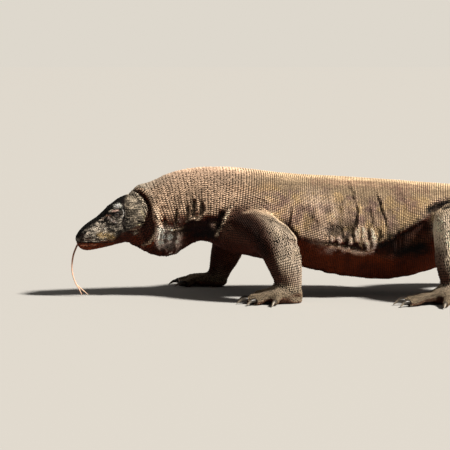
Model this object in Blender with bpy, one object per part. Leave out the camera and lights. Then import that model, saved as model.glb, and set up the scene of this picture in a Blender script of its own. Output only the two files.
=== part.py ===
"""A Komodo dragon, life size, walking with its tongue out. Metres, +Z up, the floor at Z = 0.

The animal faces -X and its left side faces -Y. The body from nape to tail is one loft through
named cross-sections, and so is the head in its own tilted frame and each limb along its bones.
Neighbouring pieces are parted by thin gaps, so that each is a closed solid of its own.
"""

import math

import bmesh
import bpy
import numpy as np
from mathutils import Matrix, Vector

GAP = 0.0003  # between neighbouring solids
BODY_SIDES = 24
HEAD_SIDES = 20
LIMB_SIDES = 12
TOE_SIDES = 7
CLAW_SIDES = 5
EYE_SIDES, EYE_RINGS = 12, 8
SOLE_SIDES, SOLE_RINGS = 12, 8

# ---------------------------------------------------------------- body sections, nose to tail
# x, y of the midline, top of the back, height of the widest level, underside, half width,
# and how much the lower half narrows (the hanging throat does, the belly doesn't).
BODY = {
    "inside_head": (-0.522, -0.022, 0.268, 0.215, 0.168, 0.030, 0.2),
    "behind_jaw": (-0.500, -0.020, 0.291, 0.225, 0.152, 0.046, 0.2),
    "nape": (-0.478, -0.018, 0.316, 0.235, 0.138, 0.055, 0.3),
    "upper_throat": (-0.452, -0.015, 0.323, 0.240, 0.126, 0.060, 0.4),
    "throat": (-0.420, -0.011, 0.334, 0.240, 0.110, 0.066, 0.5),
    "pouch": (-0.395, -0.008, 0.347, 0.245, 0.108, 0.070, 0.55),
    "pouch_end": (-0.360, -0.004, 0.358, 0.250, 0.116, 0.074, 0.5),
    "mid_neck": (-0.325, -0.001, 0.3645, 0.250, 0.142, 0.081, 0.3),
    "neck_root": (-0.290, 0.001, 0.369, 0.245, 0.160, 0.092, 0.2),
    "breast": (-0.255, 0.004, 0.3705, 0.240, 0.150, 0.103, 0.1),
    "shoulders": (-0.215, 0.008, 0.370, 0.232, 0.130, 0.114, 0.05),
    "chest": (-0.145, 0.016, 0.364, 0.222, 0.112, 0.126, 0.0),
    "ribs": (-0.073, 0.023, 0.3555, 0.210, 0.094, 0.133, 0.0),
    "mid_ribs": (0.000, 0.029, 0.349, 0.198, 0.078, 0.141, 0.0),
    "belly": (0.073, 0.032, 0.3455, 0.186, 0.060, 0.149, 0.0),
    "low_belly": (0.145, 0.031, 0.341, 0.178, 0.049, 0.153, 0.0),
    "paunch": (0.218, 0.027, 0.3365, 0.176, 0.042, 0.153, 0.0),
    "loin": (0.290, 0.020, 0.332, 0.180, 0.046, 0.146, 0.0),
    "flank_end": (0.363, 0.011, 0.3275, 0.188, 0.066, 0.130, 0.0),
    "hips": (0.435, 0.002, 0.323, 0.200, 0.090, 0.110, 0.0),
    "vent": (0.508, -0.007, 0.312, 0.204, 0.112, 0.090, 0.0),
    "tail_root": (0.600, -0.018, 0.290, 0.195, 0.108, 0.072, 0.0),
    "tail_first": (0.740, -0.032, 0.243, 0.165, 0.088, 0.054, 0.0),
    "tail_second": (0.900, -0.040, 0.190, 0.127, 0.058, 0.041, 0.0),
    "tail_third": (1.080, -0.034, 0.138, 0.085, 0.026, 0.031, 0.0),
    "tail_lands": (1.240, -0.010, 0.102, 0.054, 0.004, 0.024, 0.0),
    "tail_fifth": (1.400, 0.028, 0.076, 0.036, -0.001, 0.0175, 0.0),
    "tail_sixth": (1.560, 0.068, 0.054, 0.025, -0.001, 0.0125, 0.0),
    "tail_thin": (1.700, 0.098, 0.035, 0.016, -0.001, 0.0085, 0.0),
    "tail_tip": (1.800, 0.114, 0.018, 0.008, -0.0005, 0.0045, 0.0),
}
# node, where it starts and ends along X, and how many sections it is made of
BODY_LENGTHS = (
    ("neck", -0.522, -0.262, 11),
    ("chest", -0.262, 0.080, 9),
    ("belly", 0.080, 0.500, 10),
    ("tail_root", 0.500, 0.900, 8),
    ("tail_middle", 0.900, 1.330, 7),
    ("tail_end", 1.330, 1.800, 7),
)

# ---------------------------------------------------------------- head
HEAD_LENGTH = 0.2175  # from the lips to the back of the jaw muscle
HEAD_PITCH = math.radians(22)  # nose down
HEAD_TURN = math.radians(7)  # nose towards the left side
LIPS = Vector((-0.6455, -0.043, 0.159))  # where the two lips meet in front
UNIT = HEAD_LENGTH / 75  # the head's profile is laid out in 75ths of its length
# distance back from the lips, top, widest level, underside, half width in metres, and how
# square the upper half is (0 round, 1 boxy)
HEAD = {
    "lip_front": (-0.6, 3.0, -2.0, -5.0, 0.010, 0.0),
    "snout_tip": (0.9, 5.2, -2.0, -8.3, 0.0205, 0.2),
    "snout_front": (3.6, 7.4, -2.2, -11.2, 0.0290, 0.35),
    "nostrils": (8.5, 10.3, -2.5, -13.5, 0.0345, 0.5),
    "snout": (17.0, 13.2, -3.5, -15.3, 0.0385, 0.55),
    "mid_snout": (28.0, 15.2, -4.5, -17.2, 0.0425, 0.6),
    "before_eyes": (37.0, 18.8, -3.5, -18.4, 0.0470, 0.75),
    "eyes": (46.0, 21.6, -2.5, -19.8, 0.0530, 0.85),
    "behind_eyes": (56.0, 24.3, -1.0, -18.8, 0.0605, 0.7),
    "jaw_muscle": (63.0, 24.6, 1.0, -15.6, 0.0635, 0.5),
    "ears": (69.5, 22.4, 3.0, -11.8, 0.0600, 0.3),
    "jaw_angle": (74.0, 18.0, 4.0, -6.5, 0.0480, 0.1),
    "back": (76.3, 12.0, 4.5, -1.0, 0.0260, 0.0),
}
HEAD_SECTIONS = 22
# A ridge of brow stands out over each eye, and the side of the head is hollow at the eye's level.
BROW_BACK, BROW_REACH = 44.0, 9.0  # where it is strongest along the head, and how far it runs
BROW_RIDGE, EYE_HOLLOW = 0.0035, 0.0025
# The mouth line from the lips to its corner, then down behind the jaw bone. It dips halfway.
MOUTH = ((-8, -1.6), (0, -1.6), (8, -5.6), (16, -8.8), (24, -11.4), (31, -12.6), (38, -11.6), (45, -8.2))
JAW_HINGE = ((50.0, -10.5), (53.5, -14.5), (55.5, -22.0))
EYE_RADIUS = 0.0112
EYE_BACK, EYE_UP = 46.1, 10.6
EYE_PROUD = 0.0034  # the eyeball's swell beyond the side of the head

# The tongue's middle, from inside the lips down to the fork, each with a half width.
TONGUE = (
    ((-0.6340, -0.0435, 0.1585), 0.0048),
    ((-0.6420, -0.0450, 0.1520), 0.0050),
    ((-0.6470, -0.0462, 0.1400), 0.0048),
    ((-0.6540, -0.0474, 0.1240), 0.0046),
    ((-0.6577, -0.0483, 0.1050), 0.0042),
    ((-0.6597, -0.0490, 0.0830), 0.0038),
    ((-0.6570, -0.0495, 0.0600), 0.0035),
    ((-0.6488, -0.0495, 0.0390), 0.0033),
    ((-0.6438, -0.0495, 0.0300), 0.0031),
)
TONGUE_FLATNESS = 0.55
FORK = (
    ((-0.6375, -0.0520, 0.0205), (-0.6300, -0.0560, 0.0050)),
    ((-0.6300, -0.0470, 0.0195), (-0.6115, -0.0440, 0.0030)),
)
PRONG_RADIUS, PRONG_TIP = 0.0017, 0.0008

# ---------------------------------------------------------------- limbs
# Along the bones from inside the trunk to the wrist or heel: x, y, z, half depth front to back,
# half thickness.
LIMBS = {
    "left_arm": (
        (-0.175, -0.050, 0.190, 0.082, 0.072),
        (-0.140, -0.105, 0.197, 0.071, 0.064),
        (-0.104, -0.152, 0.190, 0.060, 0.056),
        (-0.074, -0.186, 0.167, 0.058, 0.052),
        (-0.056, -0.202, 0.135, 0.054, 0.049),
        (-0.046, -0.206, 0.100, 0.048, 0.044),
        (-0.038, -0.204, 0.068, 0.040, 0.037),
        (-0.034, -0.202, 0.040, 0.034, 0.033),
        (-0.036, -0.202, 0.018, 0.030, 0.030),
    ),
    "right_arm": (
        (-0.170, 0.060, 0.196, 0.080, 0.072),
        (-0.172, 0.110, 0.202, 0.068, 0.063),
        (-0.178, 0.155, 0.190, 0.057, 0.053),
        (-0.190, 0.190, 0.160, 0.054, 0.050),
        (-0.205, 0.205, 0.125, 0.050, 0.046),
        (-0.217, 0.211, 0.094, 0.046, 0.042),
        (-0.228, 0.211, 0.066, 0.039, 0.036),
        (-0.236, 0.209, 0.040, 0.033, 0.032),
        (-0.242, 0.207, 0.018, 0.029, 0.029),
    ),
    "left_leg": (
        (0.455, -0.045, 0.212, 0.094, 0.082),
        (0.448, -0.105, 0.213, 0.082, 0.074),
        (0.440, -0.158, 0.196, 0.070, 0.064),
        (0.432, -0.196, 0.164, 0.062, 0.056),
        (0.425, -0.212, 0.130, 0.054, 0.049),
        (0.422, -0.218, 0.098, 0.047, 0.043),
        (0.428, -0.218, 0.068, 0.038, 0.035),
        (0.438, -0.216, 0.042, 0.032, 0.031),
        (0.440, -0.216, 0.018, 0.029, 0.029),
    ),
    "right_leg": (
        (0.455, 0.045, 0.212, 0.094, 0.082),
        (0.468, 0.100, 0.212, 0.081, 0.073),
        (0.486, 0.150, 0.196, 0.069, 0.062),
        (0.508, 0.186, 0.167, 0.061, 0.055),
        (0.534, 0.204, 0.134, 0.053, 0.048),
        (0.562, 0.212, 0.101, 0.045, 0.041),
        (0.590, 0.214, 0.070, 0.037, 0.034),
        (0.608, 0.214, 0.042, 0.031, 0.031),
        (0.612, 0.214, 0.018, 0.028, 0.028),
    ),
}
# names of the two lengths of a limb, and at which of its stations the elbow or knee parts them
LIMB_PARTS = {
    "left_arm": ("left_upper_arm", "left_forearm", 3.35),
    "right_arm": ("right_upper_arm", "right_forearm", 3.35),
    "left_leg": ("left_thigh", "left_shank", 3.45),
    "right_leg": ("right_thigh", "right_shank", 3.45),
}
SECTIONS_PER_STATION = 1.5

# ---------------------------------------------------------------- feet
# For each foot: under which limb, where it points (degrees from straight ahead, outwards), the
# sole's half length, half width and height, and how far its middle lies ahead of the ankle.
FEET = {
    "left_forefoot": ("left_arm", -1, 14, 0.050, 0.039, 0.042, 0.016),
    "right_forefoot": ("right_arm", 1, 28, 0.050, 0.039, 0.042, 0.016),
    "left_hindfoot": ("left_leg", -1, 16, 0.062, 0.041, 0.044, 0.024),
    "right_hindfoot": ("right_leg", 1, 22, 0.062, 0.041, 0.044, 0.024),
}
# For each toe from the inner one outwards: spread in degrees (outwards is positive), length,
# and half thickness at its root.
FORE_TOES = (
    (-46, 0.050, 0.0125),
    (-20, 0.066, 0.0132),
    (2, 0.072, 0.0132),
    (24, 0.068, 0.0130),
    (58, 0.050, 0.0122),
)
HIND_TOES = (
    (-40, 0.054, 0.0128),
    (-18, 0.080, 0.0136),
    (0, 0.096, 0.0138),
    (18, 0.104, 0.0136),
    (62, 0.068, 0.0124),
)
# The toe's middle line, as (share of its length, height), and its thickness at each point.
TOE_ARCH = ((0.0, 0.0185), (0.30, 0.0215), (0.55, 0.0200), (0.80, 0.0125), (1.0, 0.0098))
TOE_TAPER = (1.0, 0.97, 0.90, 0.84, 0.76)
TOE_ROOT_AHEAD, TOE_ROOT_ASIDE = 0.42, 0.62  # in half lengths and half widths of the sole
TOE_OVERLAP = 0.30  # of the sole's half length, hidden in it
SOLE_SWELL, SOLE_CENTRE = 0.62, 0.42  # of the sole's height
CLAW_LENGTH, CLAW_RADIUS = 0.036, 0.0066
CLAW_DROP = 0.72  # how far the tip comes down, in heights of the toe's end
CLAW_RINGS = 5
CLAW_ARCH = 0.0042

SKIN = ("hide", (0.155, 0.115, 0.085), 0.75)
HORN = ("claw_horn", (0.035, 0.030, 0.026), 0.35)
EYE = ("eye", (0.030, 0.018, 0.010), 0.10)
TONGUE_SKIN = ("tongue_flesh", (0.62, 0.38, 0.30), 0.45)


def clear_scene():
    for thing in list(bpy.data.objects):
        bpy.data.objects.remove(thing)


def material(name, colour, roughness):
    """The piece's colour and gloss as a Principled BSDF, made once for each name."""
    made = bpy.data.materials.get(name)
    if made is None:
        made = bpy.data.materials.new(name)
        made.use_nodes = True
        shader = made.node_tree.nodes["Principled BSDF"]
        shader.inputs["Base Color"].default_value = (*colour, 1)
        shader.inputs["Roughness"].default_value = roughness
        shader.inputs["Metallic"].default_value = 0.0
    return made


def new_object(name, bm, finish, matrix=None):
    """An object from a bmesh, placed by a matrix, smooth shaded, with its faces pointing out."""
    bm.normal_update()
    bmesh.ops.recalc_face_normals(bm, faces=bm.faces[:])
    if matrix is not None:
        bm.transform(matrix)
        if matrix.determinant() < 0:
            bmesh.ops.reverse_faces(bm, faces=bm.faces[:])
    mesh = bpy.data.meshes.new(name)
    bm.to_mesh(mesh)
    bm.free()
    mesh.materials.append(material(*finish))
    mesh.shade_smooth()
    thing = bpy.data.objects.new(name, mesh)
    bpy.context.scene.collection.objects.link(thing)
    return thing


def helper(thing):
    """Marks a cutter, which shapes other pieces and isn't one itself."""
    thing.hide_render = True
    thing.display_type = "WIRE"
    return thing


def boolean(thing, other, operation):
    modifier = thing.modifiers.new(operation.lower() + "_" + other.name, "BOOLEAN")
    modifier.operation = operation
    modifier.object = other


def between(stations, at):
    """Stations (rows of numbers, the first rising) read at one value of the first number.

    It is a cubic through the rows whose slopes are eased where the rows turn, so that it never
    swings past them.
    """
    rows = np.array(stations, float)
    steps = np.diff(rows, axis=0)
    slopes = steps / steps[:, :1]
    tangents = np.zeros_like(rows)
    tangents[0], tangents[-1] = slopes[0], slopes[-1]
    before, after = slopes[:-1], slopes[1:]
    same_way = before * after > 0
    total = np.where(same_way, before + after, 1.0)
    tangents[1:-1] = np.where(same_way, 2 * before * after / total, 0.0)
    k = int(np.clip(np.searchsorted(rows[:, 0], at) - 1, 0, len(rows) - 2))
    width = rows[k + 1, 0] - rows[k, 0]
    t = (at - rows[k, 0]) / width
    start, end = 2 * t**3 - 3 * t**2 + 1, 3 * t**2 - 2 * t**3
    lean_in, lean_out = t**3 - 2 * t**2 + t, t**3 - t**2
    value = start * rows[k] + end * rows[k + 1]
    value += width * (lean_in * tangents[k] + lean_out * tangents[k + 1])
    value[0] = at
    return value


def power(value, exponent):
    return math.copysign(abs(value) ** exponent, value)


def bump(value, middle, width):
    """A smooth hump of height 1."""
    return math.exp(-(((value - middle) / width) ** 2))


def loft(rings):
    """A closed bmesh through rings of points that all have the same count."""
    bm = bmesh.new()
    loops = [[bm.verts.new(point) for point in ring] for ring in rings]
    sides = len(loops[0])
    for a, b in zip(loops, loops[1:]):
        for i in range(sides):
            j = (i + 1) % sides
            bm.faces.new((a[i], a[j], b[j], b[i]))
    bm.faces.new(loops[0])
    bm.faces.new(loops[-1])
    return bm


# ---------------------------------------------------------------- body
def body_section(at, grow=0.0):
    """The ring of the body at one X."""
    x, y, top, level, under, half_width, narrowing = between(list(BODY.values()), at)
    ring = []
    for i in range(BODY_SIDES):
        angle = 2 * math.pi * i / BODY_SIDES
        across, up = math.cos(angle), math.sin(angle)
        half = half_width + grow
        if up < 0:
            half *= 1 - narrowing * up**2
            rise = (level - under + grow) * up
        else:
            rise = (top - level + grow) * up
        ring.append((x, y + half * power(across, 0.92), max(level + rise, 0.0 - grow)))
    return ring


def make_body():
    """The lengths of the body, and a cutter a little larger than the trunk with the same rings."""
    trunk = []
    for name, start, end, sections in BODY_LENGTHS:
        places = np.linspace(start + GAP / 2, end - GAP / 2, sections)
        new_object(name, loft([body_section(x) for x in places]), SKIN)
        if name not in ("tail_middle", "tail_end"):
            trunk += [body_section(x, 1.5 * GAP) for x in places]
    return helper(new_object("trunk_cutter", loft(trunk), SKIN))


# ---------------------------------------------------------------- head
def head_matrix():
    """From the head's own frame (X back along the head, Z up, origin at the lips) to the world."""
    turn = Matrix.Rotation(HEAD_TURN, 4, "Z") @ Matrix.Rotation(-HEAD_PITCH, 4, "Y")
    return Matrix.Translation(LIPS) @ turn


def head_section(back, grow=0.0):
    s, top, level, under, half_width, boxy = between(list(HEAD.values()), back)
    brow = bump(s, BROW_BACK, BROW_REACH)
    corner = 1 - 0.45 * boxy
    ring = []
    for i in range(HEAD_SIDES):
        angle = 2 * math.pi * i / HEAD_SIDES
        across, up = math.cos(angle), math.sin(angle)
        if up < 0:
            y = (half_width + grow) * power(across, 0.9) * (1 - 0.22 * up**2)
            z = (level - under) * UNIT * up + level * UNIT + grow * up
        else:
            ridge = BROW_RIDGE * bump(up, 0.72, 0.2) - EYE_HOLLOW * bump(up, 0.30, 0.2)
            y = (half_width + grow) * power(across, corner) + math.copysign(ridge * brow, across)
            z = (top - level) * UNIT * power(up, corner) + level * UNIT + grow * up
            if abs(across) < 0.01:
                y = 0.0
        ring.append((s * UNIT, y, z))
    return ring


def head_loft(name, grow=0.0):
    spread = np.linspace(0, 1, HEAD_SECTIONS)
    first, last = HEAD["lip_front"][0], HEAD["back"][0]
    backs = first + (last - first) * (1 - np.cos(spread * math.pi)) / 2
    return new_object(name, loft([head_section(s, grow) for s in backs]), SKIN, head_matrix())


def mouth_cutter(name, shift):
    """Everything under the mouth line and ahead of the jaw's hinge."""
    line = [*MOUTH, *JAW_HINGE]
    points = [((s * UNIT + shift[0]), (h * UNIT + shift[1])) for s, h in line]
    points += [(points[-1][0], -0.10), (points[0][0], -0.10)]
    half = 0.09
    wedge = loft([[(x, y, z) for x, z in points] for y in (-half, half)])
    return helper(new_object(name, wedge, SKIN, head_matrix()))


def ball(name, centre, radius, finish):
    bm = bmesh.new()
    bmesh.ops.create_uvsphere(bm, u_segments=EYE_SIDES, v_segments=EYE_RINGS, radius=radius)
    bmesh.ops.rotate(bm, verts=bm.verts[:], matrix=Matrix.Rotation(math.radians(90), 3, "X"))
    bmesh.ops.translate(bm, verts=bm.verts[:], vec=centre)
    return new_object(name, bm, finish)


def eye_centre(side):
    """Set in the side of the head so that the ball swells a little beyond it."""
    section = [Vector(p) for p in head_section(EYE_BACK)]
    height = EYE_UP * UNIT
    flank = [p for p in section if p.y > 0 and p.z > 0]
    nearest = sorted(flank, key=lambda p: abs(p.z - height))[:2]
    share = (height - nearest[0].z) / (nearest[1].z - nearest[0].z)
    side_of_head = nearest[0].y + share * (nearest[1].y - nearest[0].y)
    out = side_of_head + EYE_PROUD - EYE_RADIUS
    return head_matrix() @ Vector((EYE_BACK * UNIT, side * out, height))


def tube(points, radii, sides, flatness=1.0):
    """Rings along points, square to the line, each of its own radius."""
    line = [Vector(p) for p in points]
    across = Vector((0, 1, 0))
    rings = []
    for k, centre in enumerate(line):
        along = (line[min(k + 1, len(line) - 1)] - line[max(k - 1, 0)]).normalized()
        other = along.cross(across).normalized()
        side = other.cross(along).normalized()
        ring = []
        for i in range(sides):
            angle = 2 * math.pi * i / sides
            wide, flat = radii[k] * math.cos(angle), radii[k] * flatness * math.sin(angle)
            ring.append(centre + side * wide + other * flat)
        rings.append(ring)
    return rings


def tongue(name, grow=0.0):
    """A flat ribbon of flesh, with two prongs joined to its end."""
    points = [p for p, _ in TONGUE]
    radii = [r + grow for _, r in TONGUE]
    flatness = TONGUE_FLATNESS if not grow else TONGUE_FLATNESS + 0.06
    ribbon = new_object(name, loft(tube(points, radii, TOE_SIDES, flatness)), TONGUE_SKIN)
    if grow:
        return helper(ribbon)
    root = Vector(points[-2]) * 0.45 + Vector(points[-1]) * 0.55
    for k, prong in enumerate(FORK):
        lean = Vector((0, -0.0013 if k == 0 else 0.0013, 0))
        line = [root + lean, *[Vector(p) for p in prong]]
        sizes = (PRONG_RADIUS, PRONG_RADIUS * 0.85, PRONG_TIP)
        made = loft(tube(line, sizes, CLAW_SIDES))
        boolean(ribbon, helper(new_object(f"prong_{k}", made, TONGUE_SKIN)), "UNION")
    return ribbon


def make_head():
    head = head_loft("head")
    jaw = head_loft("lower_jaw")
    boolean(head, mouth_cutter("below_mouth", (0.0, 0.0)), "DIFFERENCE")
    boolean(jaw, mouth_cutter("jaw_shape", (-GAP, -1.5 * GAP)), "INTERSECT")
    slot = tongue("tongue_slot", grow=GAP)
    boolean(head, slot, "DIFFERENCE")
    boolean(jaw, slot, "DIFFERENCE")
    tongue("tongue")
    for name, side in (("left_eye", -1), ("right_eye", 1)):
        centre = eye_centre(side)
        ball(name, centre, EYE_RADIUS, EYE)
        socket = helper(ball(name + "_socket", centre, EYE_RADIUS + GAP * 1.5, SKIN))
        boolean(head, socket, "DIFFERENCE")
    whole = helper(head_loft("head_cutter", grow=GAP * 1.5))
    boolean(bpy.data.objects["neck"], whole, "DIFFERENCE")


# ---------------------------------------------------------------- limbs and feet
def limb_rings(limb, start, end, grow=0.0):
    """Rings of a limb between two of its stations, which needn't be whole numbers."""
    rows = [(k, *row) for k, row in enumerate(LIMBS[limb])]
    count = max(3, round((end - start) * SECTIONS_PER_STATION) + 1)
    rings = []
    ahead = Vector((-1, 0, 0))
    for at in np.linspace(start, end, count):
        here = between(rows, at)
        centre = Vector(here[1:4])
        nudge = 0.05
        low, high = max(at - nudge, 0), min(at + nudge, len(rows) - 1)
        along = (Vector(between(rows, high)[1:4]) - Vector(between(rows, low)[1:4])).normalized()
        depth = (ahead - along * ahead.dot(along)).normalized()
        thick = along.cross(depth)
        ring = []
        for i in range(LIMB_SIDES):
            angle = 2 * math.pi * i / LIMB_SIDES
            wide = (here[4] + grow) * math.cos(angle)
            flat = (here[5] + grow) * math.sin(angle)
            ring.append(centre + depth * wide + thick * flat)
        rings.append(ring)
    return rings


def foot_matrix(name):
    """From a foot's own frame (X ahead, Y outwards, floor at 0, origin under the ankle)."""
    limb, side, splay = FEET[name][:3]
    ankle = Vector(LIMBS[limb][-1][:3])
    angle = math.radians(splay)
    ahead = Vector((-math.cos(angle), side * math.sin(angle), 0))
    out = Vector((math.sin(angle), side * math.cos(angle), 0))
    turn = Matrix((ahead, out, Vector((0, 0, 1)))).transposed().to_4x4()
    return Matrix.Translation(Vector((ankle.x, ankle.y, 0))) @ turn


def sole(name, grow=0.0):
    """The palm or sole: a low rounded pad with its underside cut flat by the floor."""
    half_length, half_width, height, ahead = FEET[name][3:]
    bm = bmesh.new()
    bmesh.ops.create_uvsphere(bm, u_segments=SOLE_SIDES, v_segments=SOLE_RINGS, radius=1.0)
    size = Vector((half_length + grow, half_width + grow, height * SOLE_SWELL + grow))
    bmesh.ops.scale(bm, verts=bm.verts[:], vec=size)
    bmesh.ops.translate(bm, verts=bm.verts[:], vec=(ahead, 0, height * SOLE_CENTRE))
    return new_object(name if not grow else name + "_cutter", bm, SKIN, foot_matrix(name))


def toe_line(foot, spread, length):
    """Points of a toe in the foot's frame: out of the sole, over the knuckle, to the claw."""
    half_length, half_width, _, ahead = FEET[foot][3:]
    angle = math.radians(spread)
    way = Vector((math.cos(angle), math.sin(angle), 0))
    beside = half_width * TOE_ROOT_ASIDE * way.y
    root = Vector((ahead + half_length * TOE_ROOT_AHEAD * way.x, beside, 0))
    reach = length + half_length * TOE_OVERLAP
    return [root + way * reach * share + Vector((0, 0, z)) for share, z in TOE_ARCH], way


def make_foot(name):
    matrix = foot_matrix(name)
    foot = sole(name)
    toes = FORE_TOES if "fore" in name else HIND_TOES
    for k, (spread, length, thickness) in enumerate(toes, start=1):
        line, way = toe_line(name, spread, length)
        radii = [thickness * share for share in TOE_TAPER]
        made = loft(toe_rings(line, way, radii, TOE_SIDES))
        toe = new_object(f"{name}_toe_{k}", made, SKIN, matrix)
        boolean(foot, helper(toe), "UNION")
        make_claw(f"{name}_claw_{k}", line[-1], way, matrix)
    boolean(foot, floor_cutter(), "DIFFERENCE")


def toe_rings(line, way, radii, sides):
    """Rings across a toe, upright and facing the way it points."""
    out = way.cross(Vector((0, 0, 1)))
    rings = []
    for centre, radius in zip(line, radii):
        ring = []
        for i in range(sides):
            angle = 2 * math.pi * (i + 0.5) / sides
            ring.append(centre + out * radius * math.cos(angle) + Vector((0, 0, radius * math.sin(angle))))
        rings.append(ring)
    return rings


def make_claw(name, toe_end, way, matrix):
    """A curved horn cone that starts just off the toe's blunt end and comes down to the floor."""
    line, radii = [], []
    for k in range(CLAW_RINGS):
        share = k / (CLAW_RINGS - 1)
        forward = GAP + CLAW_LENGTH * share * (1 - 0.16 * share)
        drop = (toe_end.z + 0.0015) * share**2.2 * CLAW_DROP
        lift = CLAW_ARCH * math.sin(math.pi * min(share * 1.25, 1.0))
        radius = CLAW_RADIUS * (1 - share) ** 0.72 + 0.0007
        line.append(toe_end + way * forward + Vector((0, 0, lift + 0.0012 - drop)))
        radii.append(radius)
    bm = loft(toe_rings(line, way, radii, CLAW_SIDES))
    new_object(name, bm, HORN, matrix)


def floor_cutter():
    made = bpy.data.objects.get("floor_cutter")
    if made is None:
        bm = bmesh.new()
        bmesh.ops.create_cube(bm, size=1.0)
        bmesh.ops.scale(bm, verts=bm.verts[:], vec=(4.0, 2.0, 0.2))
        bmesh.ops.translate(bm, verts=bm.verts[:], vec=(0.5, 0, -0.1))
        made = helper(new_object("floor_cutter", bm, SKIN))
    return made


def make_limb(limb, trunk):
    upper, lower, joint = LIMB_PARTS[limb]
    half_gap = GAP / 2 / 0.035  # a station is about 35 mm long
    root = new_object(upper, loft(limb_rings(limb, 0, joint - half_gap)), SKIN)
    boolean(root, trunk, "DIFFERENCE")
    last = len(LIMBS[limb]) - 1
    shin = new_object(lower, loft(limb_rings(limb, joint + half_gap, last)), SKIN)
    foot = next(name for name, row in FEET.items() if row[0] == limb)
    boolean(shin, helper(sole(foot, grow=GAP * 1.5)), "DIFFERENCE")


def stand_on_floor():
    """Moves everything so that the origin is under the middle of the animal, on the floor."""
    bpy.context.view_layer.update()
    graph = bpy.context.evaluated_depsgraph_get()
    shown = [thing for thing in bpy.data.objects if not thing.hide_render]
    corners = []
    for thing in shown:
        mesh = thing.evaluated_get(graph).to_mesh()
        corners += [thing.matrix_world @ vertex.co for vertex in mesh.vertices]
    low = Vector([min(c[i] for c in corners) for i in range(3)])
    high = Vector([max(c[i] for c in corners) for i in range(3)])
    shift = Vector((-(low.x + high.x) / 2, -(low.y + high.y) / 2, -low.z))
    for thing in bpy.data.objects:
        thing.location = shift


def main():
    clear_scene()
    trunk = make_body()
    make_head()
    for limb in LIMBS:
        make_limb(limb, trunk)
    for foot in FEET:
        make_foot(foot)
    stand_on_floor()


main()
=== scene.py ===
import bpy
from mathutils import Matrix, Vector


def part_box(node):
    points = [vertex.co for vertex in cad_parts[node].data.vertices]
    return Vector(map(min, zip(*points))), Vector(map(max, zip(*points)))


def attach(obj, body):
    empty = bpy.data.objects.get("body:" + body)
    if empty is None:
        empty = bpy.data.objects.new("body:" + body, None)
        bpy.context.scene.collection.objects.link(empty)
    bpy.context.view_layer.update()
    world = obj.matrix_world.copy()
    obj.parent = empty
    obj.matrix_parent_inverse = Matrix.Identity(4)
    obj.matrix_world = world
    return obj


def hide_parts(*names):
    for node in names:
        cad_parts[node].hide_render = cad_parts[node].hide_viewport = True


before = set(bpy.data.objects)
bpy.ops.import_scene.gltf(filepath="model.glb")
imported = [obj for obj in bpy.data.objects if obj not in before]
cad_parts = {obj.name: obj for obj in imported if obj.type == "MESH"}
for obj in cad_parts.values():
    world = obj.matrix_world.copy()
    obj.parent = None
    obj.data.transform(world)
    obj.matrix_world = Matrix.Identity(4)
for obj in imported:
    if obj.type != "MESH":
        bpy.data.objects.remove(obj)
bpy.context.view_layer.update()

import itertools
import math
from types import SimpleNamespace

import bmesh
import bpy
import numpy as np
from mathutils import Matrix, Vector
from mathutils.bvhtree import BVHTree

# ---------------------------------------------------------------- the hide
# The dragon's skin, one piece of tinted resin cast over the solids of flesh and a coat's depth inside
# them. Folds, lips, lids, nostrils and ears are worked into it by hand, as a sculptor works them
# into the clay, before the scales are laid on. It is dark where it shows between the scales.
COAT_DEPTH = 0.0019  # how far the hide lies inside the solids
WELD = 0.00002  # corners of a solid's triangles that are this close are one corner
VOXEL = 0.0085  # the squares it is cast in, before the head, feet and folds are made finer
SOLE_HEIGHT = 0.0022  # the soles' hide lies this far above the floor, and their scales fill the gap
OVERLAP = 0.0005  # each solid is swollen by this much, so that neighbours run together
TOE_SWELL = 0.0030  # thin toes and the tail's end are cast fuller, or the squares would lose them
LID_ROOM = 0.0012  # how far the lids' flesh covers the eyeball
TRUNK = ("neck", "chest", "belly", "tail_root", "tail_middle", "tail_end")
HEAD = ("head", "lower_jaw")
LEGS = {
    "left_fore": ("left_upper_arm", "left_forearm", "left_forefoot"),
    "right_fore": ("right_upper_arm", "right_forearm", "right_forefoot"),
    "left_hind": ("left_thigh", "left_shank", "left_hindfoot"),
    "right_hind": ("right_thigh", "right_shank", "right_hindfoot"),
}
FLESH = TRUNK + HEAD + tuple(part for leg in LEGS.values() for part in leg)
SIDES = {"left": -1, "right": 1}
HEAD_UNIT = 0.0029  # the head is laid out in 75ths of its length
HEAD_PITCH = math.radians(22)
EYE_PLACE = (46.1, 10.6)  # back from the lips and up, in head units


def middle(node):
    """The middle of a solid's box."""
    low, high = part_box(node)
    return (low + high) / 2


def head_frame():
    """From the head's own frame (X back from the lips, Y to its right, Z up) to the dragon's."""
    left, right = middle("left_eye"), middle("right_eye")
    across = (right - left).normalized()
    level = across.cross(Vector((0, 0, 1))).normalized()
    back = level * math.cos(HEAD_PITCH) + Vector((0, 0, math.sin(HEAD_PITCH)))
    up = back.cross(across)
    lips = (left + right) / 2 - back * EYE_PLACE[0] * HEAD_UNIT - up * EYE_PLACE[1] * HEAD_UNIT
    return Matrix.Translation(lips) @ Matrix((back, across, up)).transposed().to_4x4()


HEAD_FRAME = head_frame()
CHEST_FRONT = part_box("chest")[0].x


def values_of(items, key, wide=3, kind=float):
    """One value of every item, such as the place of every vertex, as rows of numbers."""
    out = np.empty(len(items) * wide, kind)
    items.foreach_get(key, out)
    return out.reshape(-1, wide)


def places(mesh):
    """Every vertex's place."""
    return values_of(mesh.vertices, "co")


def normals_of(mesh):
    """The way every vertex faces."""
    return values_of(mesh.vertex_normals, "vector")


def edges_of(mesh):
    """The two vertices of every edge."""
    return values_of(mesh.edges, "vertices", 2, np.int32)


def put(mesh, co):
    """Moves every vertex to a new place."""
    mesh.vertices.foreach_set("co", np.asarray(co, np.float32).ravel())
    mesh.update()


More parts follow.
